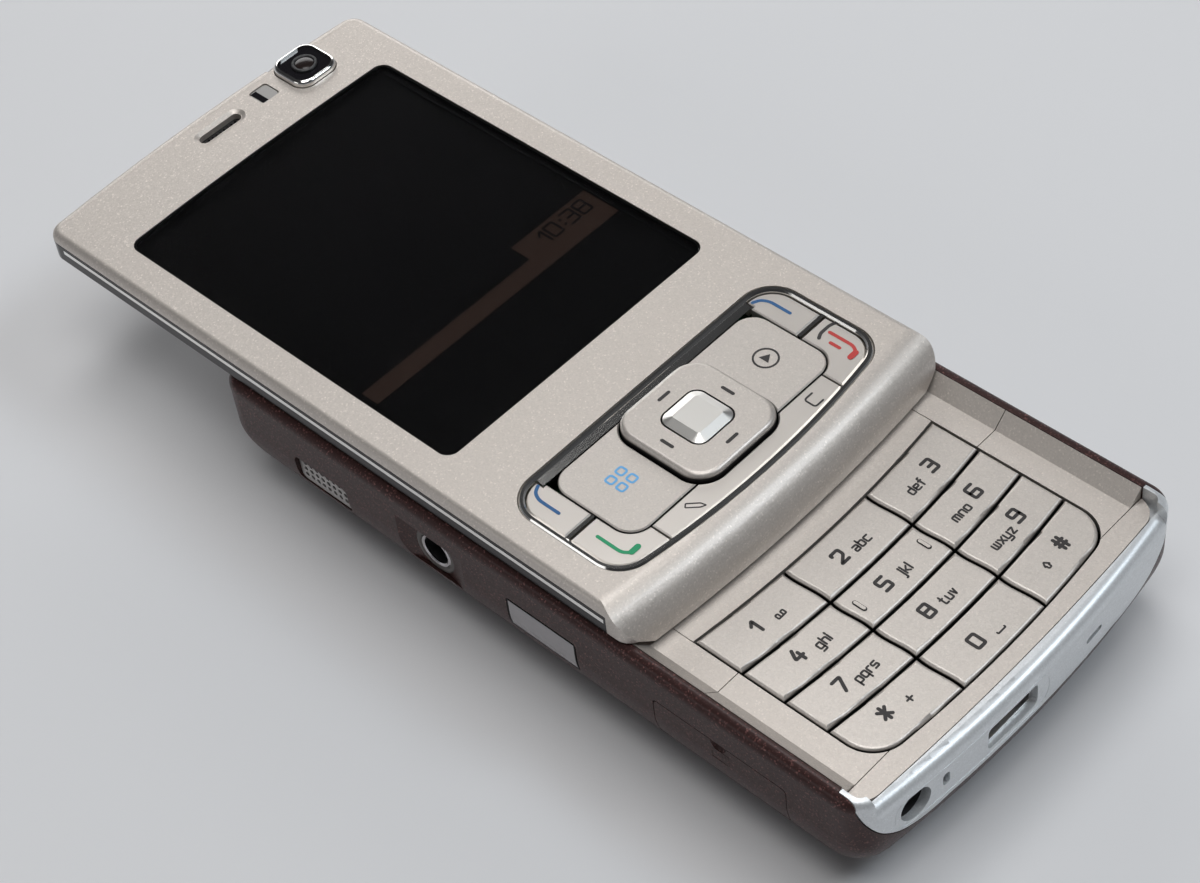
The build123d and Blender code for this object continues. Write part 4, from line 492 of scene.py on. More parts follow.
def make_handling_group():
    """Uneven gloss from handling."""
    tree, start, end = new_group(
        "Phone handling",
        (
            ("Roughness", "NodeSocketFloat", 0.3),
            ("Amount", "NodeSocketFloat", 0.06),
            ("Scale", "NodeSocketFloat", 90.0),
        ),
        (("Roughness", "NodeSocketFloat"), ("Height", "NodeSocketFloat")),
    )
    links = tree.links
    place = tree.nodes.new("ShaderNodeTexCoord")
    cloud = tree.nodes.new("ShaderNodeTexNoise")
    cloud.inputs["Detail"].default_value = 4.0
    links.new(place.outputs["Object"], cloud.inputs["Vector"])
    links.new(start.outputs["Scale"], cloud.inputs["Scale"])
    swing = math_node(tree, "SUBTRACT", cloud.outputs["Fac"], 0.5)
    spread = math_node(tree, "MULTIPLY", swing, start.outputs["Amount"])
    links.new(math_node(tree, "ADD", start.outputs["Roughness"], spread), end.inputs["Roughness"])
    links.new(cloud.outputs["Fac"], end.inputs["Height"])


def make_grain_group():
    """Rolled sheet metal: fine lines along the phone."""
    tree, start, end = new_group(
        "Phone grain",
        (
            ("Color", "NodeSocketColor", (0.5, 0.5, 0.5, 1)),
            ("Roughness", "NodeSocketFloat", 0.3),
            ("Lines", "NodeSocketFloat", 6000.0),
        ),
        (("Color", "NodeSocketColor"), ("Roughness", "NodeSocketFloat"), ("Height", "NodeSocketFloat")),
    )
    links = tree.links
    place = tree.nodes.new("ShaderNodeTexCoord")
    squeeze = vector_node(tree, "MULTIPLY", place.outputs["Object"], (1.0, 0.03, 1.0))
    lines = tree.nodes.new("ShaderNodeTexNoise")
    lines.inputs["Detail"].default_value = 2.0
    links.new(squeeze, lines.inputs["Vector"])
    links.new(start.outputs["Lines"], lines.inputs["Scale"])
    spread = math_node(tree, "MULTIPLY", math_node(tree, "SUBTRACT", lines.outputs["Fac"], 0.5), 0.25)
    links.new(math_node(tree, "ADD", start.outputs["Roughness"], spread), end.inputs["Roughness"])
    lift = math_node(tree, "ADD", spread, 1.0)
    links.new(vector_node(tree, "SCALE", start.outputs["Color"], scale=lift), end.inputs["Color"])
    links.new(lines.outputs["Fac"], end.inputs["Height"])


def use_group(material, name, values):
    """Adds a node group to a material and sets its inputs."""
    node = material.node_tree.nodes.new("ShaderNodeGroup")
    node.node_tree = bpy.data.node_groups[name]
    for label, value in values.items():
        node.inputs[label].default_value = value
    return node


def new_material(name, **values):
    """A principled material; each value goes to the socket of that name."""
    material = bpy.data.materials.get(name) or bpy.data.materials.new(name)
    material.use_nodes = True
    tree = material.node_tree
    tree.nodes.clear()
    shader = tree.nodes.new("ShaderNodeBsdfPrincipled")
    output = tree.nodes.new("ShaderNodeOutputMaterial")
    tree.links.new(shader.outputs["BSDF"], output.inputs["Surface"])
    for label, value in values.items():
        shader.inputs[label.replace("_", " ").title().replace("Ior", "IOR")].default_value = value
    return material, shader


def emboss(material, shader, height, strength, distance):
    """Leads a height to the shader as fine relief."""
    relief = material.node_tree.nodes.new("ShaderNodeBump")
    relief.inputs["Strength"].default_value = strength
    relief.inputs["Distance"].default_value = distance
    material.node_tree.links.new(height, relief.inputs["Height"])
    material.node_tree.links.new(relief.outputs["Normal"], shader.inputs["Normal"])


def rough_from_handling(material, shader, roughness, amount, bump=0.0, scale=90.0):
    """Gives a material its roughness, uneven from handling, and the relief of its moulding."""
    values = {"Roughness": roughness, "Amount": amount, "Scale": scale}
    handling = use_group(material, "Phone handling", values)
    material.node_tree.links.new(handling.outputs["Roughness"], shader.inputs["Roughness"])
    if bump:
        emboss(material, shader, handling.outputs["Height"], bump, 0.0001)


def flake_paint(name, color, metallic, roughness, coat, glint=1.0, tilt=1.0, walls=None, specular=0.5):
    """Metallic paint under a clear coat; walls is the colour of the upright walls: unpainted plastic, darkened
    as painted shade.
    """
    settings = bpy.context.scene.phone_finish
    material, shader = new_material(
        name, metallic=metallic, coat_weight=coat, coat_roughness=0.06, specular_ior_level=specular,
    )
    values = {
        "Color": (*color, 1), "Flake Size": settings.flake_size,
        "Glint": settings.glint * glint, "Tilt": settings.tilt * tilt,
    }
    flakes = use_group(material, "Phone flakes", values)
    paint = flakes.outputs["Color"]
    # Upright walls get unpainted plastic darkened with painted shade.
    if walls:
        wall_and_gap_shade = use_group(material, "Phone unpainted walls and gap shade", {"Wall And Gap Shade Color": (*walls, 1)})
        material.node_tree.links.new(paint, wall_and_gap_shade.inputs["Color"])
        paint = wall_and_gap_shade.outputs["Color"]
    material.node_tree.links.new(paint, shader.inputs["Base Color"])
    material.node_tree.links.new(flakes.outputs["Normal"], shader.inputs["Normal"])
    rough_from_handling(material, shader, roughness, settings.wear)


def plain(
    name, color, roughness, metallic=0.0, coat=0.0, wear=0.08, bump=0.0, scale=90.0,
    emission=None, specular=0.5,
):
    """Moulded or polished material in one colour; emission is a colour and its strength."""
    material, shader = new_material(
        name, base_color=(*color, 1), metallic=metallic, coat_weight=coat, specular_ior_level=specular,
    )
    if emission:
        shader.inputs["Emission Color"].default_value = (*emission[0], 1)
        shader.inputs["Emission Strength"].default_value = emission[1]
    rough_from_handling(material, shader, roughness, wear, bump, scale)


def rolled(name, color, roughness, lines):
    """Rolled or drawn metal."""
    material, shader = new_material(name, metallic=1.0)
    grain = use_group(material, "Phone grain", {"Color": (*color, 1), "Roughness": roughness, "Lines": lines})
    links = material.node_tree.links
    links.new(grain.outputs["Color"], shader.inputs["Base Color"])
    links.new(grain.outputs["Roughness"], shader.inputs["Roughness"])
    emboss(material, shader, grain.outputs["Height"], 0.15, 0.00002)


def clear_glass(name, tint, roughness):
    """Tinted glass that shows what is behind it."""
    material, shader = new_material(name, base_color=(*tint, 1), transmission_weight=1.0, ior=1.5)
    rough_from_handling(material, shader, roughness, 0.03, scale=60.0)


def make_materials():
    """Every finish of the phone, named as the record's material slots, and the inks."""
    # glint scales each paint's painted flake glints; the plum's are strong purple ones.
    flake_paint("silver_paint", (0.590, 0.540, 0.495), 0.66, 0.46, 0.2, glint=0.6)
    # The keys' walls: unpainted plastic and painted shade of the gaps between the keys.
    flake_paint(
        "silver_key", (0.590, 0.545, 0.503), 0.66, 0.42, 0.15, glint=0.4, tilt=0.8, walls=(0.012, 0.011, 0.012),
    )
    flake_paint("plum_paint", (0.040, 0.0175, 0.0160), 0.2, 0.42, 0.12, glint=8.0, tilt=1.4, specular=0.22)
    flake_paint("white_silver", (0.70, 0.72, 0.735), 0.5, 0.38, 0.12, glint=0.3, tilt=0.4)
    plain("polished_key", (0.70, 0.655, 0.61), 0.34, metallic=0.88, wear=0.05)
    plain("polished_steel", (0.86, 0.84, 0.80), 0.33, metallic=0.95, wear=0.04)
    plain("chrome", (0.90, 0.885, 0.86), 0.12, metallic=1.0, wear=0.03)
    plain("dark_chrome", (0.50, 0.48, 0.49), 0.13, metallic=1.0, wear=0.06)
    rolled("steel", (0.62, 0.61, 0.60), 0.32, 5000.0)
    clear_glass("clear_window", (0.93, 0.93, 0.94), 0.03)
    plain("dark_glass", (0.010, 0.009, 0.011), 0.06, coat=0.6, wear=0.03)
    plain("display", (0.0016, 0.0013, 0.0013), 0.4, wear=0.05, scale=40.0, specular=0.04)
    plain("circuit_board", (0.015, 0.11, 0.045), 0.42, coat=0.3, bump=0.5, scale=900.0)
    plain("flex_film", (0.42, 0.17, 0.03), 0.34, coat=0.2, scale=500.0)
    plain("black_plastic", (0.018, 0.018, 0.019), 0.42, bump=0.35, scale=2500.0)
    plain("battery_case", (0.16, 0.16, 0.17), 0.5, bump=0.2, scale=1500.0)
    plain("ink_dark", (0.019, 0.015, 0.015), 0.5, scale=700.0)
    plain("ink_blue", (0.010, 0.10, 0.27), 0.42, scale=700.0)
    plain("ink_light_blue", (0.13, 0.42, 0.78), 0.42, scale=700.0)
    plain("ink_green", (0.0, 0.30, 0.12), 0.42, scale=700.0)
    plain("ink_red", (0.52, 0.035, 0.03), 0.42, scale=700.0)
    plain(
        "band_glow", (0.012, 0.007, 0.005), 0.5, scale=60.0, specular=0.05,
        emission=((0.090, 0.052, 0.038), 0.16),
    )
    plain("band_dark", (0.002, 0.0016, 0.0015), 0.5, scale=60.0, specular=0.05)
    plain("border_black", (0.0016, 0.0013, 0.0013), 0.35, scale=60.0, specular=0.05)
    plain("gold", (0.83, 0.58, 0.22), 0.2, metallic=1.0, scale=900.0)
    plain("lens_glass", (0.018, 0.012, 0.011), 0.16, coat=0.15, wear=0.02, specular=0.3)
    plain("chassis_strip", (0.035, 0.032, 0.033), 0.18, metallic=1.0, wear=0.06)
    plain("smoke_window", (0.30, 0.285, 0.295), 0.12, metallic=0.3, coat=0.6, wear=0.04)
    plain("sensor_window", (0.52, 0.50, 0.48), 0.15, metallic=0.2, coat=0.7, wear=0.04)
    plain("mesh_black", (0.030, 0.028, 0.029), 0.40, metallic=0.6)
    plain("grille_metal", (0.42, 0.40, 0.39), 0.40, metallic=0.6)
    plain("gunmetal", (0.11, 0.10, 0.095), 0.34, metallic=0.8, wear=0.05)


# Solids whose finish differs from the rest of their slot.
OWN_FINISH = {
    "left_soft_key": "polished_key",
    "right_soft_key": "polished_key",
    "call_key": "polished_key",
    "end_key": "polished_key",
    "edit_clear_bar": "polished_key",
    "select_key": "polished_steel",
    "slide_chassis": "chassis_strip",
    "infrared_window": "smoke_window",
    "light_sensor_window": "sensor_window",
    "earpiece_mesh": "mesh_black",
    "speaker_grilles": "grille_metal",
}


# ---------------------------------------------------------------- pieces
# Number keys: the digit's middle, then the letters or sign and their middle.
KEY_LEGENDS = {
    "key_1": ("1", (-14.3, -23.6), "tape", (-11.35, -24.85)),
    "key_2": ("2", (-1.6, -24.4), "abc", (1.35, -25.4)),
    "key_3": ("3", (14.4, -23.8), "def", (11.05, -25.05)),
    "key_4": ("4", (-14.35, -29.4), "ghi", (-11.3, -30.75)),
    "key_5": ("5", (-1.5, -30.3), "jkl", (1.4, -31.3)),
    "key_6": ("6", (14.4, -29.7), "mno", (11.2, -31.05)),
    "key_7": ("7", (-14.35, -35.25), "pqrs", (-11.45, -36.6)),
    "key_8": ("8", (-1.5, -36.0), "tuv", (1.4, -37.0)),
    "key_9": ("9", (14.45, -35.3), "wxyz", (11.2, -36.65)),
    "key_star": ("*", (-14.35, -40.85), "+", (-11.35, -42.0)),
    "key_0": ("0", (-1.45, -42.3), "space", (1.35, -43.5)),
    "key_hash": ("#", (14.4, -41.2), "shift", (11.1, -42.35)),
}


def build_legends():
    """Digits and letters on the number keys."""
    settings = bpy.context.scene.phone_marks
    digit = settings.digit_height / MM / DIGIT_UNITS
    letter = settings.letter_height / MM / LETTER_UNITS
    thick = settings.print_thickness / MM
    place = flat(KEY_TOP)
    for key, (number, middle, extra, spot) in KEY_LEGENDS.items():

        def build(mesh):
            foot = middle[1] - DIGIT_UNITS / 2 * digit
            draw_text(mesh, number, middle[0], foot, digit, DIGIT_STROKE, place, thick)
            if extra in SIGNS:
                left = spot[0] - glyph_width(SIGNS[extra]) * letter / 2
                foot = spot[1] - BASELINE * letter
                draw_sign(mesh, SIGNS[extra], left, foot, letter, SIGN_STROKE, place, thick)
            else:
                draw_text(mesh, extra, spot[0], spot[1], letter, LETTER_STROKE, place, thick)

        add_piece(f"legend_{key}", build, "ink_dark", key)

    def bars(foot, head, width, high):
        def build(mesh):
            for x in (-5.35, 5.35):
                stroke(mesh, [(x, foot), (x, head)], width, place, high=high)

        return build

    add_piece("touch_bars", bars(-30.8, -29.6, 0.40, 0.13), "silver_key", "key_5")
    add_piece("touch_bar_seats", bars(-30.85, -29.55, 0.62, 0.02), "ink_dark", "key_5")


def build_marks():
    """Marks on the control keys."""
    top = flat(CONTROL_TOP)
    thick = bpy.context.scene.phone_marks.print_thickness / MM

    def soft(side):
        x = side * 18.85

        def build(mesh):
            points = [(x, -0.4), (x, 2.6), (x - side * 0.5, 3.6), (x - side * 1.35, 4.0)]
            stroke(mesh, points, 0.4, top, high=thick, corner=0.9)

        return build

    add_piece("left_soft_mark", soft(-1), "ink_blue", "left_soft_key")
    add_piece("right_soft_mark", soft(1), "ink_blue", "right_soft_key")

    def call(mesh):
        arm = [(-18.6, -5.8), (-18.6, -9.2), (-18.0, -10.05), (-16.9, -10.05)]
        stroke(mesh, arm, MARK_STROKE, top, high=thick, corner=0.9)
        stroke(mesh, [(-17.9, -10.05), (-16.95, -10.05)], 0.72, top, low=thick, high=2 * thick)

    def end(mesh):
        arm = [(19.3, -5.8), (19.3, -9.2), (18.7, -10.05), (17.7, -10.05)]
        stroke(mesh, arm, MARK_STROKE, top, high=thick, corner=0.9)
        stroke(mesh, [(18.65, -10.05), (17.75, -10.05)], 0.72, top, low=thick, high=2 * thick)
        stroke(mesh, [(18.1, -6.9), (18.1, -8.2)], MARK_STROKE, top, high=thick)

    def hook(mesh):
        arc = [(17.85, -5.45), (18.5, -5.1), (20.1, -5.1), (20.75, -5.35)]
        stroke(mesh, arc, MARK_STROKE, top, high=thick, corner=0.5)

    add_piece("call_mark", call, "ink_green", "call_key")
    add_piece("end_mark", end, "ink_red", "end_key")
    add_piece("end_hook_mark", hook, "ink_dark", "end_key")

    def squares(mesh):
        for x in (-12.45, -10.85):
            for y in (-3.65, -2.05):
                outline = [(x, y), (x + 1, y), (x + 1, y + 1), (x, y + 1)]
                stroke(mesh, outline, 0.26, top, high=thick, corner=0.3, closed=True)

    def triangle(mesh):
        stroke(mesh, circle((11.9, -2.8), 1.45, 24), 0.24, top, high=thick, closed=True)
        prism(mesh, [(11.5, -3.5), (12.65, -2.8), (11.5, -2.1)], top, 0.0, thick)

    add_piece("menu_mark", squares, "ink_light_blue", "menu_key")
    add_piece("media_mark", triangle, "ink_dark", "media_key")

    def edit(mesh):
        outline = [(-9.9, -10.35), (-9.45, -10.0), (-8.35, -11.2), (-8.2, -11.85), (-8.8, -11.55)]
        stroke(mesh, outline, 0.15, top, high=thick, corner=0.1, closed=True)
        bracket = [(11.0, -10.2), (9.7, -10.2), (9.7, -11.8), (11.0, -11.8)]
        stroke(mesh, bracket, 0.22, top, high=thick, corner=0.4)

    add_piece("edit_clear_mark", edit, "ink_dark", "edit_clear_bar")

    def ticks(mesh):
        spots = ((0, 1.55, 0.75, 0), (0, -8.35, 0.75, 0), (-4.95, -3.4, 0, 0.75), (4.95, -3.4, 0, 0.75))
        for x, y, dx, dy in spots:
            stroke(mesh, [(x - dx, y - dy), (x + dx, y + dy)], MARK_STROKE, flat(RING_TOP), high=thick)

    add_piece("ring_ticks", ticks, "ink_dark", "navigation_ring")


def build_picture():
    """The faint standby picture, the black border behind the window and the gasket in its edge."""
    over_band = flat(PANEL_TOP + PICTURE_LAYER)

    def band(mesh):
        outline = [(-19.8, 26.9), (19.8, 26.9), (19.8, 32.6), (7.4, 32.6), (7.4, 29.5), (-19.8, 29.5)]
        prism(mesh, outline, flat(PANEL_TOP), 0.0, PICTURE_LAYER)

    def clock(mesh):
        for text, middle in (("10", 12.1), ("38", 16.6)):
            draw_text(mesh, text, middle, 29.7, 0.37, 0.3, over_band, PICTURE_LAYER)
        for y in (30.3, 31.3):
            prism(mesh, circle((14.35, y), 0.2, 28), over_band, 0.0, PICTURE_LAYER)

    def border(mesh):
        corners = [(-20.35, 14.65), (20.35, 14.65), (20.35, 68.35), (-20.35, 68.35)]
        stroke(mesh, corners, 1.05, flat(WINDOW_UNDERSIDE), low=-0.04, high=-0.01, closed=True)

    def gasket(mesh):
        low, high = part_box("display_window")
        left, foot = low.x / MM + GASKET_INSET, low.y / MM + GASKET_INSET
        right, head = high.x / MM - GASKET_INSET, high.y / MM - GASKET_INSET
        bow = [(right * share, head - WINDOW_BOW * share ** 2) for share in spaced(1.0, -1.0, 9)]
        stroke(
            mesh, [(left, foot), (right, foot)] + bow, GASKET_WIDTH, flat(high.z / MM),
            low=-GASKET_DEPTH, high=GASKET_RISE, corner=1.55, closed=True,
        )

    add_piece("window_gasket", gasket, "border_black", "slide")
    add_piece("standby_band", band, "band_glow", "slide")
    add_piece("standby_clock", clock, "band_dark", "slide")
    add_piece("window_border", border, "border_black", "slide")


def build_lenses():
    """Lens glass and ring of the cameras, and the eye of the light sensor."""
    low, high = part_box("front_camera_window")
    front = [(low.x + high.x) / 2 / MM, (low.y + high.y) / 2 / MM, high.z / MM]

    def front_ring(mesh):
        profile = [(1.25, -0.12), (1.25, 0.05), (1.35, 0.12), (1.55, 0.12), (1.66, 0.04), (1.66, -0.2)]
        lathe(mesh, profile + [(1.25, -0.2)], front, (0, 0, 1))

    def front_glass(mesh):
        lathe(mesh, [(1.24, -0.02), (0.95, 0.06), (0.55, 0.11), (0.0, 0.13)], front, (0, 0, 1))

    low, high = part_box("light_sensor_window")
    left, right = low.x / MM + 0.12, low.x / MM + 1.0
    foot, head = low.y / MM + 0.12, high.y / MM - 0.12
    face = high.z / MM

    def sensor_eye(mesh):
        prism(mesh, [(left, foot), (right, foot), (right, head), (left, head)], flat(face), -0.02, 0.02)

    low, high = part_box("rear_camera_module")
    rear = [(low.x + high.x) / 2 / MM, (low.y + high.y) / 2 / MM, low.z / MM]

    def rear_glass(mesh):
        lathe(mesh, [(2.35, -0.75), (1.9, -0.45), (1.1, -0.25), (0.0, -0.2)], rear, (0, 0, -1))

    add_piece("front_lens_ring", front_ring, "black_plastic", "slide", smooth=True)
    add_piece("front_lens_glass", front_glass, "lens_glass", "slide", smooth=True)
    add_piece("sensor_eye", sensor_eye, "dark_glass", "slide")
    add_piece("rear_lens_glass", rear_glass, "lens_glass", "base", smooth=True)


def build_sockets():
    """Trim and contacts of the sockets."""
    low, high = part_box("audio_jack_socket")
    jack = [low.x / MM, (low.y + high.y) / 2 / MM, (low.z + high.z) / 2 / MM]
    jack_ring = [(2.3, 0.01), (2.3, 0.16), (2.5, 0.30), (2.9, 0.30), (3.2, 0.10), (3.2, -0.4)]
    jack_ring += [(2.95, -0.4), (2.95, 0.01), (2.3, 0.01)]
    jack_lip = [(1.8, 0.01), (1.8, 0.16), (1.95, 0.26), (2.15, 0.26), (2.28, 0.14), (2.28, 0.01)]
    jack_lip += [(1.8, 0.01)]

    low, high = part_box("charger_socket")
    charger = [(low.x + high.x) / 2 / MM, low.y / MM, (low.z + high.z) / 2 / MM]
    pin = [(0.0, 0.0), (0.22, -0.1), (0.28, -0.35), (0.28, -7.9)]
    ring = [(1.12, 0.02), (1.12, 0.12), (1.3, 0.2), (1.6, 0.12), (1.65, 0.02), (1.12, 0.02)]
    liner = [(1.85, 0.03), (2.09, 0.03), (2.09, 1.8), (2.0, 1.8), (1.85, 0.03)]

    # Name, profile, socket, way out, steps, material and slot of each turned piece.
    turned = (
        ("jack_ring", jack_ring, jack, (-1, 0, 0), 56, "gunmetal", "dark_chrome"),
        ("jack_lip", jack_lip, jack, (-1, 0, 0), 56, "dark_chrome", "dark_chrome"),
        ("charger_pin", pin, charger, (0, -1, 0), 20, "chrome", "chrome"),
        ("charger_ring", ring, charger, (0, -1, 0), 56, "chrome", "chrome"),
        ("charger_liner", liner, charger, (0, -1, 0), 56, "black_plastic", "black_plastic"),
    )
    for name, profile, centre, axis, steps, material, slot in turned:

        def build(mesh):
            lathe(mesh, profile, centre, axis, steps)

        add_piece(name, build, material, "base", smooth=True)

    def contacts(mesh):
        for step in range(5):
            x = -4.4 + (step - 2) * 0.8
            ends = ((x - 0.16, -47.6), (x + 0.16, -47.6), (x + 0.16, -44.0), (x - 0.16, -44.0))
            prism(mesh, ends, flat(SOCKET_LEVEL - 0.06), 0.0, 0.05)

    add_piece("data_contacts", contacts, "gold", "base")


def build_mouldings():
    """Fine lines of the end cap, the card door, the slide's sides and the infrared window, and the
    thin skin over the front cover's top edge."""

    def outlines(mesh):
        corners = [Vector(point) for point in ((-21.7, 9.2), (1.6, 9.2), (1.6, 13.7), (-21.7, 13.7))]
        bends = soften(corners, 2.1, True)
        fine = []
        for start, end in zip(bends, bends[1:] + bends[:1]):
            parts = max(1, round((end - start).length / 1.5))
            fine += [start.lerp(end, step / parts) for step in range(parts)]
        stroke(mesh, fine, 0.16, end_face, **RAISED, closed=True)

    low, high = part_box("slide_front_cover")
    peak, face = high.y / MM, high.z / MM
    camera_low, camera_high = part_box("front_camera_bezel")

    def edge_skin(mesh):
        for first, last in ((-SKIN_END, camera_low.x / MM - 0.2), (camera_high.x / MM + 0.2, SKIN_END)):
            rows = []
            for x in spaced(first, last, SKIN_STATIONS):
                edge = peak - TOP_BOW * x * x
                section = []
                for skin in (SKIN_TOP, SKIN_FOOT):
                    layer = [(edge - 1.3, face + skin)]
                    for turn in map(math.radians, range(90, -1, -10)):
                        y = edge - COVER_ROUND + (COVER_ROUND + skin) * math.cos(turn)
                        z = face - COVER_ROUND + (COVER_ROUND + skin) * math.sin(turn)
                        layer.append((y, z))
                    layer.append((edge + skin, face - 1.08))
                    section += layer if skin == SKIN_TOP else layer[::-1]
                rows.append([mesh.verts.new(Vector((x, y, z)) * MM) for y, z in section])
            for one, two in zip(rows, rows[1:]):
                for a in range(len(one)):
                    b = (a + 1) % len(one)
                    mesh.faces.new((one[a], one[b], two[b], two[a]))
            mesh.faces.new(rows[0])
            mesh.faces.new(rows[-1])

    low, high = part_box("slide_chassis")
    side, foot, head = high.x / MM, low.y / MM + 0.3, high.y / MM - 4.0

    def side_lines(mesh):
        for hand in (-1, 1):
            across = (hand * (side - 0.3), hand * (side + 0.03))
            outline = [(across[0], foot), (across[1], foot), (across[1], head), (across[0], head)]
            prism(mesh, outline, flat(SIDE_LINE_LEVEL), 0.0, SIDE_LINE_HEIGHT)

    def card(mesh):
        outline = [(-30.2, 9.7), (-27.9, 9.7), (-27.9, 10.9), (-28.3, 11.3), (-30.2, 11.3)]
        stroke(mesh, outline, 0.16, left_face, **RAISED, corner=0.15, closed=True)
        for u in (-29.8, -29.3, -28.8):
            stroke(mesh, [(u, 10.5), (u, 11.0)], 0.14, left_face, **RAISED)

    low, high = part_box("infrared_window")
    ends = [low.y / MM + 0.1, high.y / MM - 0.1]
    levels = spaced(low.z / MM + 0.1, high.z / MM - 0.1, 9)
    rim = [(ends[0], level) for level in levels] + [(ends[1], level) for level in levels[::-1]]

    def window_rim(mesh):
        stroke(mesh, rim, 0.2, left_face, low=-0.25, high=0.02, closed=True)

    add_piece("side_lines", side_lines, "chrome", "slide")
    add_piece("cover_edge_skin", edge_skin, "silver_paint", "slide", smooth=True)
    add_piece("infrared_rim", window_rim, "border_black", "base")
    add_piece("cap_outlines", outlines, "white_silver", "base")
    add_piece("card_sign", card, "plum_paint", "memory_card_door")


# ---------------------------------------------------------------- studio
CAMERA_PLACE = (-0.13531, -0.14213, 0.23248)
CAMERA_AIM = (-0.0052045, 0.0071167, 0.015)
CAMERA_ROLL = -7.7756
CAMERA_LENS = 79.35
FLOOR_TURN = -41               # the floor's rising end lies away from the camera
FLOOR_SHARE = 0.55             # how far behind the phone the floor begins to rise, of its half-width
FLOOR_RISE = 0.12
LIGHT_AIM = (0, 0.01, 0.01)


def make_floor_material():
    """Pale matt card, a little uneven in its gloss."""
    material, shader = new_material("stage_floor", base_color=(0.72, 0.72, 0.73, 1), specular_ior_level=0.25)
    grain = use_group(material, "Phone grain", {"Roughness": 0.62, "Lines": 25.0})
    material.node_tree.links.new(grain.outputs["Roughness"], shader.inputs["Roughness"])


def build_stage():
    """Pale floor that curves up behind, soft lights, and the camera."""
    settings = bpy.context.scene.phone_stage
    scene = bpy.context.scene
    half = settings.floor_size / 2
    edge = half * FLOOR_SHARE
    sweep = [(-half, 0.0), (edge, 0.0)]
    sweep += [
        (edge + FLOOR_RISE * math.sin(turn), FLOOR_RISE * (1 - math.cos(turn)))
        for turn in map(math.radians, range(6, 91, 6))
    ]
    sweep.append((edge + FLOOR_RISE, FLOOR_RISE + 0.1))
    mesh = bmesh.new()
    spin = Matrix.Rotation(math.radians(FLOOR_TURN), 4, "Z")
    rows = [[mesh.verts.new(spin @ Vector((x, y, z))) for x in (-half, half)] for y, z in sweep]
    for one, two in zip(rows, rows[1:]):
        mesh.faces.new((one[0], one[1], two[1], two[0]))
    data = bpy.data.meshes.new("studio_floor")
    mesh.to_mesh(data)
    mesh.free()
    data.shade_smooth()
    data.materials.append(bpy.data.materials["stage_floor"])
    floor = bpy.data.objects.new("studio_floor", data)
    scene.collection.objects.link(floor)

    # Name, place, size, power and colour of each light.
    lights = (
        ("overhead_light", (0.20, 0.23, 0.85), (0.34, 0.34), settings.key_power * 0.36, (1, 1, 1)),
        ("rear_light", (0.42, 0.56, 0.30), (0.60, 0.26), settings.fill_power * 1.05, (1, 1, 1)),
        ("left_light", (-0.14, -0.12, 0.86), (0.50, 0.40), settings.key_power * 0.5, (1, 1, 1)),
        ("left_fill", (-0.78, 0.28, 0.40), (0.45, 0.30), settings.fill_power * 0.4, (1, 1, 1)),
        ("right_fill", (0.38, -0.40, 0.66), (0.26, 0.26), settings.fill_power * 1.4, (0.85, 0.93, 1.0)),
    )
    for name, place, size, power, color in lights:
        lamp = bpy.data.lights.new(name, "AREA")
        lamp.shape = "RECTANGLE"
        lamp.size, lamp.size_y = size
        lamp.energy = power
        lamp.color = color
        holder = bpy.data.objects.new(name, lamp)
        holder.location = place
        holder.rotation_euler = (Vector(LIGHT_AIM) - Vector(place)).to_track_quat("-Z", "Y").to_euler()
        scene.collection.objects.link(holder)

    world = bpy.data.worlds.new("studio_room")
    world.use_nodes = True
    tree = world.node_tree
    background = tree.nodes["Background"]
    background.inputs["Color"].default_value = (0.93, 0.95, 1.0, 1)
    direction = tree.nodes.new("ShaderNodeTexCoord")
    height = tree.nodes.new("ShaderNodeSeparateXYZ")
    fade = tree.nodes.new("ShaderNodeMapRange")
    fade.inputs["From Max"].default_value = 0.55
    fade.inputs["To Min"].default_value = settings.sky
    fade.inputs["To Max"].default_value = settings.sky * 0.1
    tree.links.new(direction.outputs["Generated"], height.inputs["Vector"])
    tree.links.new(height.outputs["Z"], fade.inputs["Value"])
    tree.links.new(fade.outputs["Result"], background.inputs["Strength"])
    scene.world = world

    lens = bpy.data.cameras.new("photo_camera")
    lens.lens = CAMERA_LENS
    lens.clip_start = 0.01
    camera = bpy.data.objects.new("photo_camera", lens)
    camera.location = CAMERA_PLACE
    aim = (Vector(CAMERA_AIM) - Vector(CAMERA_PLACE)).to_track_quat("-Z", "Y")
    camera.rotation_euler = (aim.to_matrix() @ Matrix.Rotation(math.radians(CAMERA_ROLL), 3, "Z")).to_euler()
    scene.collection.objects.link(camera)
    scene.camera = camera
    scene.view_settings.view_transform = "Standard"


# ---------------------------------------------------------------- operators
def require(condition, message):
    """Stops the script with a message where something is missing."""
    if not condition:
        raise RuntimeError(message)


class PHONE_OT_finishes(bpy.types.Operator):
    """Make the finishes and give every CAD solid the one its record names"""

    bl_idname = "phone.finishes"
    bl_label = "Finishes"

    def execute(self, context):
        make_sparkle_group()
        make_wall_and_gap_shade_group()
        make_handling_group()
        make_grain_group()
        make_materials()
        for part in frame["record"]["subparts"]:
            solid = frame["nodes"][part["node"]]
            material = bpy.data.materials.get(OWN_FINISH.get(part["node"], part["material_slot"]))
            require(material, f"no finish for {part['material_slot']}")
            solid.data.materials.clear()
            solid.data.materials.append(material)
        return {"FINISHED"}


class PHONE_OT_legends(bpy.types.Operator):
    """Print the digits and letters on the number keys"""

    bl_idname = "phone.legends"
    bl_label = "Number key legends"

    def execute(self, context):
        build_legends()
        return {"FINISHED"}


class PHONE_OT_marks(bpy.types.Operator):
    """Print the marks on the control keys"""

    bl_idname = "phone.marks"
    bl_label = "Control key marks"

    def execute(self, context):
        build_marks()
        return {"FINISHED"}


class PHONE_OT_picture(bpy.types.Operator):
    """Put the standby picture, its border and the gasket at the window"""

    bl_idname = "phone.picture"
    bl_label = "Standby picture"

    def execute(self, context):
        build_picture()
        return {"FINISHED"}


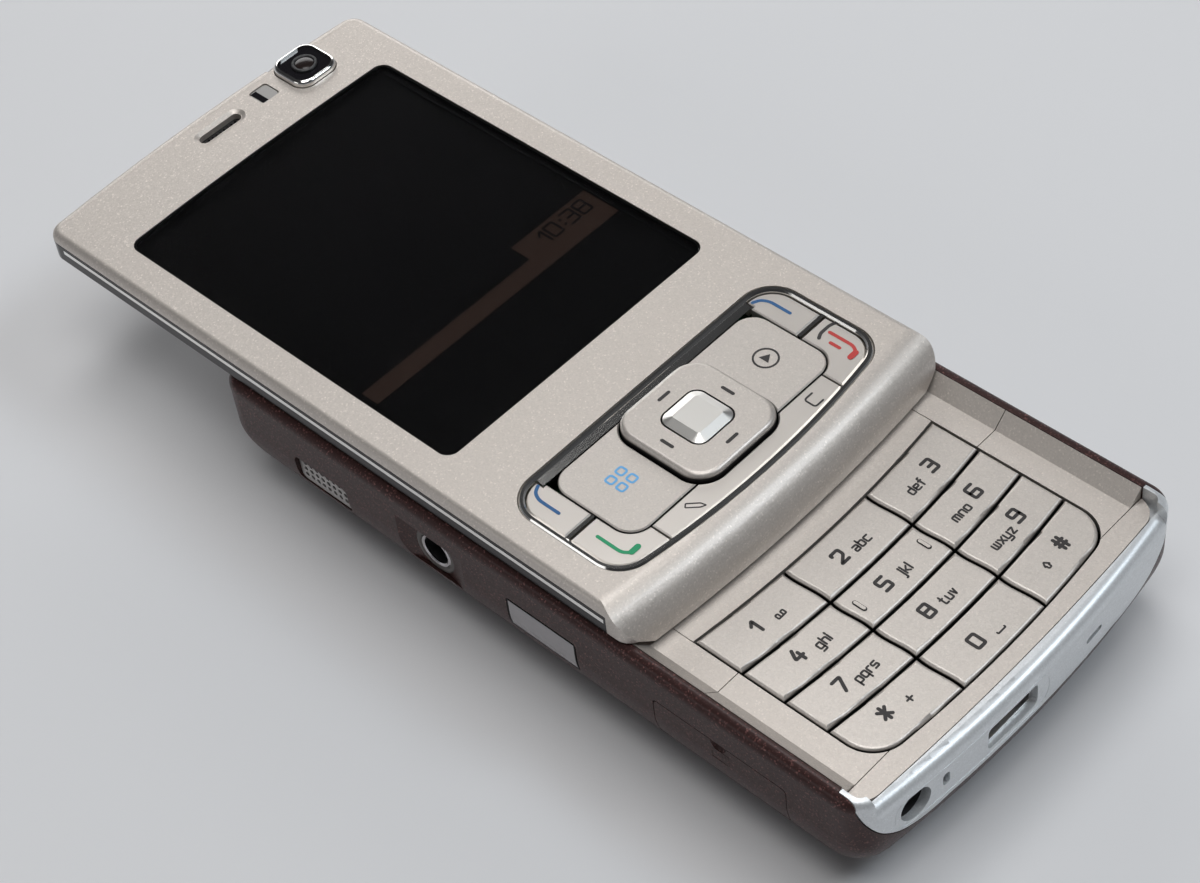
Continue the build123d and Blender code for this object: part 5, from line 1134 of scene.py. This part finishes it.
class PHONE_OT_lenses(bpy.types.Operator):
    """Add the glass and ring of the cameras and the eye of the light sensor"""

    bl_idname = "phone.lenses"
    bl_label = "Camera lenses"

    def execute(self, context):
        build_lenses()
        return {"FINISHED"}


class PHONE_OT_sockets(bpy.types.Operator):
    """Add trim and contacts to the sockets"""

    bl_idname = "phone.sockets"
    bl_label = "Socket trim"

    def execute(self, context):
        build_sockets()
        return {"FINISHED"}


class PHONE_OT_mouldings(bpy.types.Operator):
    """Add the fine lines of the base and the slide, and the skin over the front cover's top edge"""

    bl_idname = "phone.mouldings"
    bl_label = "Fine lines"

    def execute(self, context):
        build_mouldings()
        return {"FINISHED"}


class PHONE_OT_stage(bpy.types.Operator):
    """Set up the floor, the lights and the camera"""

    bl_idname = "phone.stage"
    bl_label = "Studio"

    def execute(self, context):
        make_floor_material()
        build_stage()
        return {"FINISHED"}


class PHONE_PT_looks(bpy.types.Panel):
    """Settings and builders of the phone's looks."""

    bl_idname = "PHONE_PT_looks"
    bl_label = "Slider phone"
    bl_space_type = "VIEW_3D"
    bl_region_type = "UI"
    bl_category = "Phone"

    def draw(self, context):
        for group in (context.scene.phone_finish, context.scene.phone_marks, context.scene.phone_stage):
            box = self.layout.box()
            for name in group.__annotations__:
                box.prop(group, name)
        for operator in OPERATORS:
            self.layout.operator(operator.bl_idname)


OPERATORS = (
    PHONE_OT_finishes, PHONE_OT_legends, PHONE_OT_marks, PHONE_OT_picture,
    PHONE_OT_lenses, PHONE_OT_sockets, PHONE_OT_mouldings, PHONE_OT_stage,
)
CLASSES = (PhoneFinishSettings, PhoneMarkSettings, PhoneStageSettings, *OPERATORS, PHONE_PT_looks)


def register():
    """Adds the classes and the settings of the scene."""
    for cls in CLASSES:
        bpy.utils.register_class(cls)
    bpy.types.Scene.phone_finish = bpy.props.PointerProperty(type=PhoneFinishSettings)
    bpy.types.Scene.phone_marks = bpy.props.PointerProperty(type=PhoneMarkSettings)
    bpy.types.Scene.phone_stage = bpy.props.PointerProperty(type=PhoneStageSettings)


def unregister():
    """Takes them away again."""
    del bpy.types.Scene.phone_stage
    del bpy.types.Scene.phone_marks
    del bpy.types.Scene.phone_finish
    for cls in reversed(CLASSES):
        bpy.utils.unregister_class(cls)


def main():
    register()
    bpy.ops.phone.finishes()
    bpy.ops.phone.legends()
    bpy.ops.phone.marks()
    bpy.ops.phone.picture()
    bpy.ops.phone.lenses()
    bpy.ops.phone.sockets()
    bpy.ops.phone.mouldings()
    bpy.ops.phone.stage()


if __name__ == "__main__":
    main()
